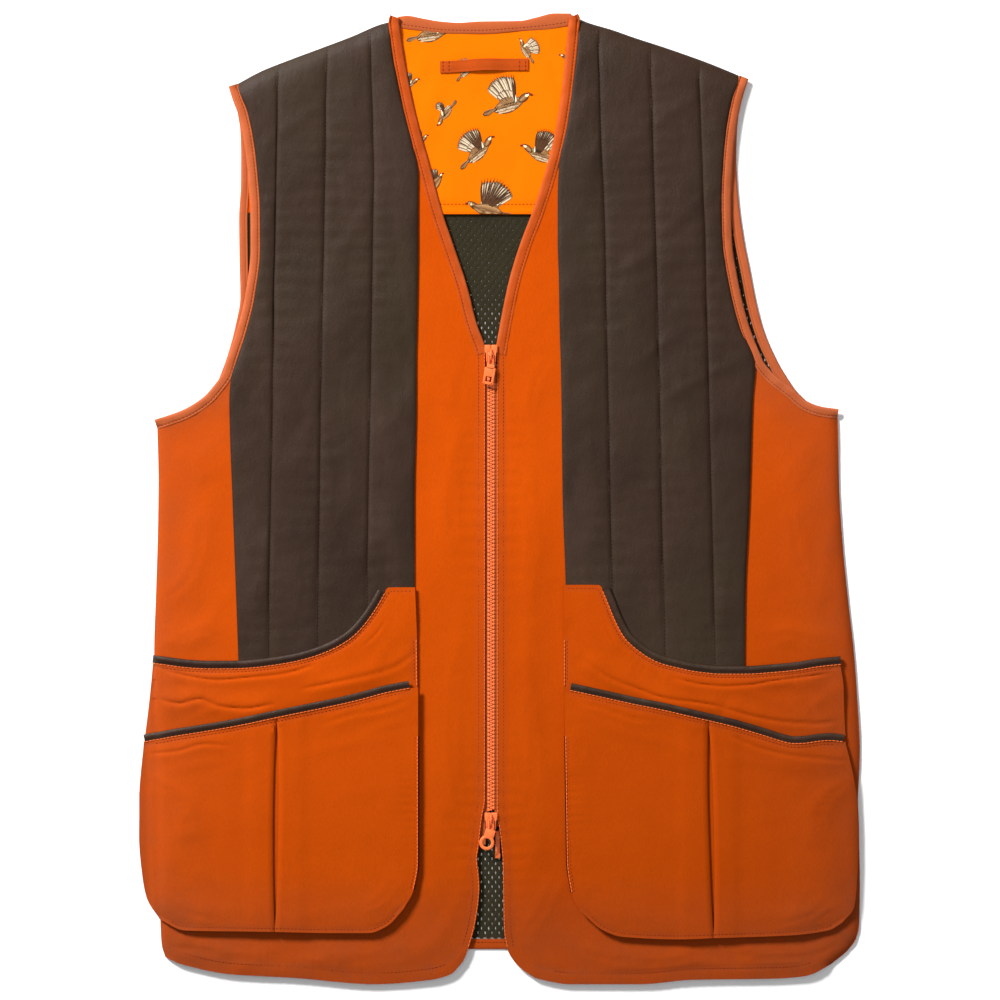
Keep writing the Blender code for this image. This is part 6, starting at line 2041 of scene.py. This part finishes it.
@dataclass
class Pocket:
    """One pocket: a panel with a corded top, and over it a pleated front with a slanted mouth."""

    side: Side
    lay: Lay
    pitch: float = 2.1
    thickness: float = 1.0
    trim_depth: float = 2.4

    def __post_init__(self) -> None:
        """Looks up the pocket's tables and works out its sewn lines."""
        cut = CUTS[self.side]
        self.cut = cut
        right = self.side is Side.RIGHT
        self.way = 1.0 if right else -1.0
        self.front_side = self.lay.right_side if right else self.lay.left_side
        self.head = panel_head(cut.pocket_top, Spot(cut.panel[-1].end_across, cut.panel[-1].end_up))
        self.outer_edge = starts(cut.panel)
        corner = cut.panel[-1]
        seam = seam_beside(cut.pocket_top, 8.0, -self.way * (TRIM_WIDTH + 3.4))
        seam.append(Spot(seam[-1].across + self.way * 2.0, corner.end_up - 3.0))
        seam.append(Spot(corner.end_across - self.way * 2.6, corner.end_up - 3.0))
        self.top_seam = seam
        self.inner_seam = seam_beside(between(ends(cut.panel), -300, -72), 8.0, self.way * 2.6)
        self.mouth_seam = seam_beside(cut.mouth, 8.0, -self.way * (TRIM_WIDTH + 3.2))
        foot = cut.pocket_foot if right else list(reversed(cut.pocket_foot))
        self.foot_seam = seam_beside(foot, 8.0, self.way * 2.8)
        self.front_edge = between(ends(cut.pocket), -318, -158)
        self.front_seam = seam_beside(self.front_edge, 8.0, self.way * 2.6)

    def panel_under(self, across: Array, up: Array) -> Array:
        """The panel lies on the front, stands over the leather and hangs at the side."""
        line = np.asarray(self.front_side, float)
        edge = read(line[:, 1], line[:, 0], up)
        outside = np.abs(across) - np.abs(edge)
        stands = 0.6 + 1.6 * (1.0 - ease((away(across, up, self.head) - 22.0) / 30.0))
        lies = np.maximum(self.lay.front_top(across, up) + stands, 2.1)
        hangs = 2.1 - 1.7 * ease((outside - 2.5) / 6.0)
        return np.where(outside < 0, lies, hangs)

    def creases(self, across: Array, up: Array) -> Array:
        """The pocket's own creases."""
        return 0.45 * swell(across, up, self.cut.creases) + furrowed(across, up, self.cut.furrows)

    def panel_top(self, across: Array, up: Array) -> Array:
        """Height of the panel's face, without its seams."""
        return self.panel_under(across, up) + CLOTH

    def panel_face(self, across: Array, up: Array) -> Array:
        """Height of the panel's face, with its creases, gathers and seams."""
        above_mouth = ease((up - read_spots(self.cut.mouth, across) + 12.0) / 8.0)
        face = self.panel_top(across, up) + self.creases(across, up) * above_mouth
        face = face + 0.42 * pucker(across, up, self.top_seam, 5.2, 3.4, 81)
        face = face + 0.35 * pucker(across, up, self.inner_seam, 6.0, 4.0, 83)
        face = face - 0.3 * groove(across, up, self.top_seam, 0.9)
        return face - 0.3 * groove(across, up, self.inner_seam, 0.9)

    def middle(self, across: Array, up: Array) -> Array:
        """Height of the middle of the front's wall: full at the pleat, low at the sides."""
        from_slit = np.abs(across - self.cut.slit[0].across)
        near = 1.0 - ease((from_slit - 16.0) / 30.0)
        from_side = away(across, up, self.outer_edge)
        rise = np.maximum(near, 0.75 * ease((from_side - 2.0) / 40.0))
        return self.panel_top(across, up) + 0.8 + 2.0 * PLEAT_LAYER * rise + 0.15 * near

    def front_relief(self, across: Array, up: Array) -> Array:
        """What the creases, gathers and seams add to the front."""
        from_slit = ease((np.abs(across - self.cut.slit[0].across) - 2.0) / 14.0)
        relief = self.creases(across, up) * from_slit
        relief = relief + 0.45 * pucker(across, up, self.mouth_seam, 5.6, 3.8, 85)
        relief = relief + 0.6 * pucker(across, up, self.foot_seam, 7.0, 6.0, 87)
        relief = relief + 0.35 * pucker(across, up, self.front_seam, 6.0, 4.0, 89)
        for seam in (self.mouth_seam, self.foot_seam, self.front_seam):
            relief = relief - 0.25 * groove(across, up, seam, 0.9)
        return relief

    def front_face(self, across: Array, up: Array) -> Array:
        """Height of the front's face."""
        return self.middle(across, up) + self.front_relief(across, up) + self.thickness / 2

    def build_panel(self) -> Piece:
        """Builds the panel."""
        lines = row_lines(self.cut.panel, self.pitch)
        width = float(np.abs(lines[-1, 2] - lines[-1, 0]))
        near = np.array([0.0, 1.0, 2.2, 4.0, 6.0, 8.0, 10.5, 13.0]) / width
        heads = np.array([abs(spot.across - lines[-1, 0]) / width for spot in self.head])
        even = np.linspace(near[-1], 1.0, int(width / self.pitch))[1:]
        close = heads[(heads > near[-1] + 0.02) & (heads < 0.999)]
        even = even[[bool(np.all(np.abs(share - close) > 0.35 * self.pitch / width)) for share in even]]
        shares = np.sort(np.concatenate([near, close, even]))
        across, up = spread(lines, shares, foot=self.cut.pocket_foot, head=self.head, reach=(60.0, 110.0))
        low = self.panel_under(across, up)
        top = self.panel_face(across, up)
        seams = np.maximum(groove(across, up, self.top_seam, 2.2), groove(across, up, self.inner_seam, 2.2))
        outer = away(across, up, self.outer_edge)
        # Darker along the seams; painted shade towards the pocket's outer side.
        wear_and_shade = np.clip(0.3 * seams + 0.8 * np.exp(-outer / 34.0), 0.0, 1.0)
        return cloth_wall(f"{self.side.value}_pocket_panel_twill", across, up, low, top, wear_and_shade)

    def build_front(self) -> Piece:
        """Builds the front with its inverted pleat: three layers meet at the slit."""
        cut, way = self.cut, self.way
        lines = row_lines(cut.pocket, self.pitch)
        turn, deep = 1.2, PLEAT_DEPTH
        corners = ((-deep - 3.0, 0.0), (-turn - 3.0, 0.0), (-turn, 0.0), (0.0, 0.5), (-turn, 1.0),
            (1.0 - deep, 1.0), (-deep, 1.5), (1.0 - deep, 2.0), (0.0, 2.0), (deep - 1.0, 2.0), (deep, 1.5),
            (deep - 1.0, 1.0), (turn, 1.0), (0.0, 0.5), (turn, 0.0), (turn + 3.0, 0.0), (deep + 3.0, 0.0))
        share = np.linspace(0, 1, len(lines))
        opening = PLEAT_OPEN * np.sin(math.pi * np.clip(share, 0.02, 0.98)) ** 0.6
        slit_up = (lines[:, 1] + lines[:, 3]) / 2
        slit = np.interp(slit_up, [cut.slit[1].up, cut.slit[0].up], [cut.slit[1].across, cut.slit[0].across])
        first = slit - way * (deep + 3.0)
        last = slit + way * (deep + 3.0)
        near = np.array([0.0, 1.0, 2.2, 4.0, 6.0, 8.0, 10.5]) / 90.0
        outer_part = np.concatenate([near, np.linspace(13.5 / 90.0, 0.965, 22)])
        inner_part = np.linspace(0.035, 1.0, 27)
        columns = [lines[:, 0] + part * (first - lines[:, 0]) for part in outer_part]
        layers = [np.zeros(len(lines)) for part in outer_part]
        for number, (place, layer) in enumerate(corners):
            edge = number in (3, 13)
            side = (
                math.copysign(1.0, number - 8.0) if edge
                else math.copysign(1.0, place) * (0.0 < abs(place) < 6.0)
            )
            columns.append(slit + way * (place + side * opening))
            layers.append(np.full(len(lines), layer))
        columns += [last + part * (lines[:, 2] - last) for part in inner_part]
        layers += [np.zeros(len(lines)) for part in inner_part]
        across, layer = np.stack(columns, axis=1), np.stack(layers, axis=1)
        part = (across - lines[:, 0:1]) / (lines[:, 2:3] - lines[:, 0:1])
        straight = lines[:, 1:2] * (1 - part) + lines[:, 3:4] * part
        up = bent(across, straight, slit_up, 0, cut.pocket_foot, 60.0)
        up = up + bent(across, straight, slit_up, -1, cut.pocket_head, 70.0) - straight
        middle = (
            self.middle(across, up) + self.front_relief(across, up) * (layer < 0.25) - PLEAT_LAYER * layer
        )
        points = np.stack([across, up, middle], axis=2)
        run = np.empty(points.shape)
        run[:, 1:-1] = points[:, 2:] - points[:, :-2]
        run[:, 0], run[:, -1] = points[:, 1] - points[:, 0], points[:, -1] - points[:, -2]
        normal = np.stack([-run[..., 2], np.zeros(run.shape[:2]), run[..., 0]], axis=2)
        normal *= way * self.thickness / 2 / np.linalg.norm(normal, axis=2)[..., None]
        seams = np.maximum(groove(across, up, self.mouth_seam, 2.2), groove(across, up, self.foot_seam, 2.4))
        outer = away(across, up, self.outer_edge)
        # Darker along the seams; painted shade towards the pocket's outer side and towards the hem.
        wear_and_shade = np.clip(0.3 * seams + 0.8 * np.exp(-outer / 34.0) + 0.4 * ease((-up - 290.0) / 55.0), 0.0, 1.0)
        return wall(f"{self.side.value}_pocket_twill", points - normal, points + normal, wear_and_shade)

    def build_top_cord(self) -> Piece:
        """Builds the leather edge of the curved top."""
        line = smooth(self.cut.pocket_top, 2.6)
        width = -self.way * (TRIM_WIDTH + 0.6)
        low = lambda across, up: self.panel_under(across, up) - 0.2
        crown = lambda across, up: self.trim_depth + 0.12 * unevenness(across, up, 14.0, 91)
        high = lambda across, up: self.panel_under(across, up) + crown(across, up)
        return tape(f"{self.side.value}_pocket_top_leather", line, width, low, high, CORD_PROFILE)

    def build_mouth_cord(self) -> Piece:
        """Builds the leather edge of the slanted mouth."""
        line = smooth(self.cut.mouth, 2.6)
        width = -self.way * TRIM_WIDTH
        low = lambda across, up: self.middle(across, up) - 0.5
        high = lambda across, up: self.middle(across, up) + 1.5 + 0.12 * unevenness(across, up, 14.0, 93)
        return tape(f"{self.side.value}_mouth_leather", line, width, low, high, CORD_PROFILE)

    def sew(self, needle: Needle) -> None:
        """Sews the panel and the front, lays light lines of painted highlight along their edges, and a dark
        line of painted shadow beside the pocket's zip side.
        """
        mouth = read_spots(self.cut.mouth, np.array([spot.across for spot in self.inner_seam]))
        above = [spot for spot, low in zip(self.inner_seam, mouth) if spot.up > low - 2.0]
        for line, face in ((self.top_seam[1:], self.panel_face), (above, self.panel_face),
            (self.mouth_seam[1:-1], self.front_face), (self.front_seam, self.front_face),
            (self.foot_seam[1:-1], self.front_face)):
            needle.sew("orange_thread", line, face, 0.0)
        # Light lines along the trims and the pocket edges: painted highlight where the turned edges catch the
        # light.
        edge = between(ends(self.cut.panel), -160, -74)
        for line, shift, face in ((self.cut.pocket_top, TRIM_WIDTH + 1.0, self.panel_face),
            (self.cut.mouth, TRIM_WIDTH + 0.4, self.front_face), (edge, -0.5, self.panel_face),
            (self.front_edge, -0.5, self.front_face)):
            needle.sew("turned", moved(smooth(line, 6.0), -self.way * shift), face, 0.0, -0.4, 0.9)
        # A dark line on the front beside the pocket's zip-side edge: painted shadow of the pocket.
        painted_shadow_line = moved(smooth(self.front_edge, 6.0), -self.way * 0.5)
        needle.sew("brown_thread", painted_shadow_line, self.lay.front_top, 0.1, -0.4, 0.9)


class Studio:
    """The pale ground, the soft lights and the camera above."""

    def __init__(self, height: float = 3.2, field_width: float = 0.8) -> None:
        """Keeps the camera's height and the width that it sees."""
        self.height = height
        self.field_width = field_width

    def lay_ground(self, material: Material) -> None:
        """Lays the ground under the vest."""
        let_go()
        bpy.ops.mesh.primitive_grid_add(
            x_subdivisions=8, y_subdivisions=8, size=8.0, location=(0, 0, -0.0004)
        )
        ground = in_hand("ground")
        bpy.ops.object.transform_apply(location=True, rotation=True, scale=True)
        ground.data.materials.append(material)
        let_go()

    def light(self, name: str, place: Triple, size: float, power: float, warm: float = 0.0) -> None:
        """Hangs one soft square light that faces the vest."""
        lamp = bpy.data.lights.new(name, "AREA")
        lamp.size = size
        lamp.energy = power
        lamp.color = (1.0, 1.0 - 0.04 * warm, 1.0 - 0.08 * warm)
        holder = bpy.data.objects.new(name, lamp)
        holder.location = place
        holder.rotation_euler = Vector(place).to_track_quat("Z", "Y").to_euler()
        bpy.context.scene.collection.objects.link(holder)

    def light_up(self) -> None:
        """Hangs the lights and sets the sky."""
        scene = bpy.context.scene
        world = bpy.data.worlds.new("soft_sky")
        world.use_nodes = True
        sky = world.node_tree.nodes["Background"]
        sky.inputs["Color"].default_value = (0.95, 0.97, 1.0, 1.0)
        sky.inputs["Strength"].default_value = 0.24
        scene.world = world
        scene.view_settings.view_transform = "Standard"
        self.light("key", (-2.3, 2.7, 2.4), 1.0, 415.0, 0.3)
        self.light("fill", (1.4, -0.9, 2.2), 1.8, 9.0)
        self.light("top", (0.0, 0.2, 3.0), 2.2, 13.0)

    def set_camera(self) -> None:
        """Sets the camera straight above the middle of the picture."""
        lens = bpy.data.cameras.new("camera")
        lens.lens = lens.sensor_width * (self.height - 0.004) / self.field_width
        camera = bpy.data.objects.new("camera", lens)
        camera.location = (0.0004, -0.0012, self.height)
        bpy.context.scene.collection.objects.link(camera)
        bpy.context.scene.camera = camera


def corners(low: Vector, high: Vector) -> list[list[float]]:
    """A box's two corners as plain lists."""
    return [[float(value) for value in low], [float(value) for value in high]]


def build_vest(finishes: Finishes) -> None:
    """Builds every piece of the vest, dresses it and puts it on its body."""
    lay, needle = Lay(), Needle()
    yoke, hanger, hem = Yoke(), Hanger(), HemBand()
    net = carry(NetBack().build(), finishes.net, "net", "back_mesh")
    band = carry(hem.build(), finishes.tape, "binding", "back_hem_band")
    outer = carry(yoke.build_outer(), finishes.twill, "twill", "yoke_outer")
    lining = carry(yoke.build_lining(), finishes.lining, "lining", "yoke_lining")
    neck = carry(yoke.build_neck_binding(), finishes.arm_tape, "binding", "back_neck_binding")
    loop = carry(hanger.build(yoke.lining_top), finishes.tape, "binding", "hanger_loop")
    hem.sew(needle)
    yoke.sew(needle)
    hanger.sew(needle, yoke.lining_top)
    carry(BirdPrint(yoke.lining_top).build(), finishes.print, "lining")
    Zip().dress(finishes)
    for side in Side:
        name = side.value
        back_tape = carry(
            BackArmhole(side).build(), finishes.arm_tape, "binding", f"{name}_back_armhole_binding"
        )
        front = FrontPanel(side, lay)
        patch = ShoulderPatch(side, lay)
        pocket = Pocket(side, lay)
        panel = carry(front.build(), finishes.twill, "twill", f"{name}_front")
        front.sew(needle)
        leather = carry(patch.build(), finishes.leather, "leather", f"{name}_leather_patch")
        patch.sew(needle)
        for edge in ("armhole", "neck"):
            binding = EdgeBinding(side, edge, lay)
            woven = finishes.tape if edge == "neck" else finishes.arm_tape
            carry(binding.build(), woven, "binding", f"{name}_{edge}_binding")
            binding.sew(needle)
        under = carry(pocket.build_panel(), finishes.twill, "twill", f"{name}_pocket_panel")
        over = carry(pocket.build_front(), finishes.twill, "twill", f"{name}_pocket_front")
        top_cord = carry(pocket.build_top_cord(), finishes.cord, "leather", f"{name}_pocket_top_trim")
        mouth_cord = carry(pocket.build_mouth_cord(), finishes.cord, "leather", f"{name}_mouth_trim")
        pocket.sew(needle)
    # The turned yarn is painted highlight; the brown thread also holds a painted shadow line.
    yarns = {
        "orange_thread": (finishes.orange_thread, "twill"), "turned": (finishes.turned, "twill"),
        "brown_thread": (finishes.brown_thread, "leather"),
    }
    for thread, piece in needle.finish().items():
        carry(piece, *yarns[thread])


def main() -> None:
    """Builds the vest and its studio."""
    logging.basicConfig(level=logging.INFO, format="%(message)s")
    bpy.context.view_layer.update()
    finishes = Finishes.mixed()
    build_vest(finishes)
    studio = Studio()
    studio.lay_ground(finishes.ground)
    studio.light_up()
    studio.set_camera()


if __name__ == "__main__":
    main()
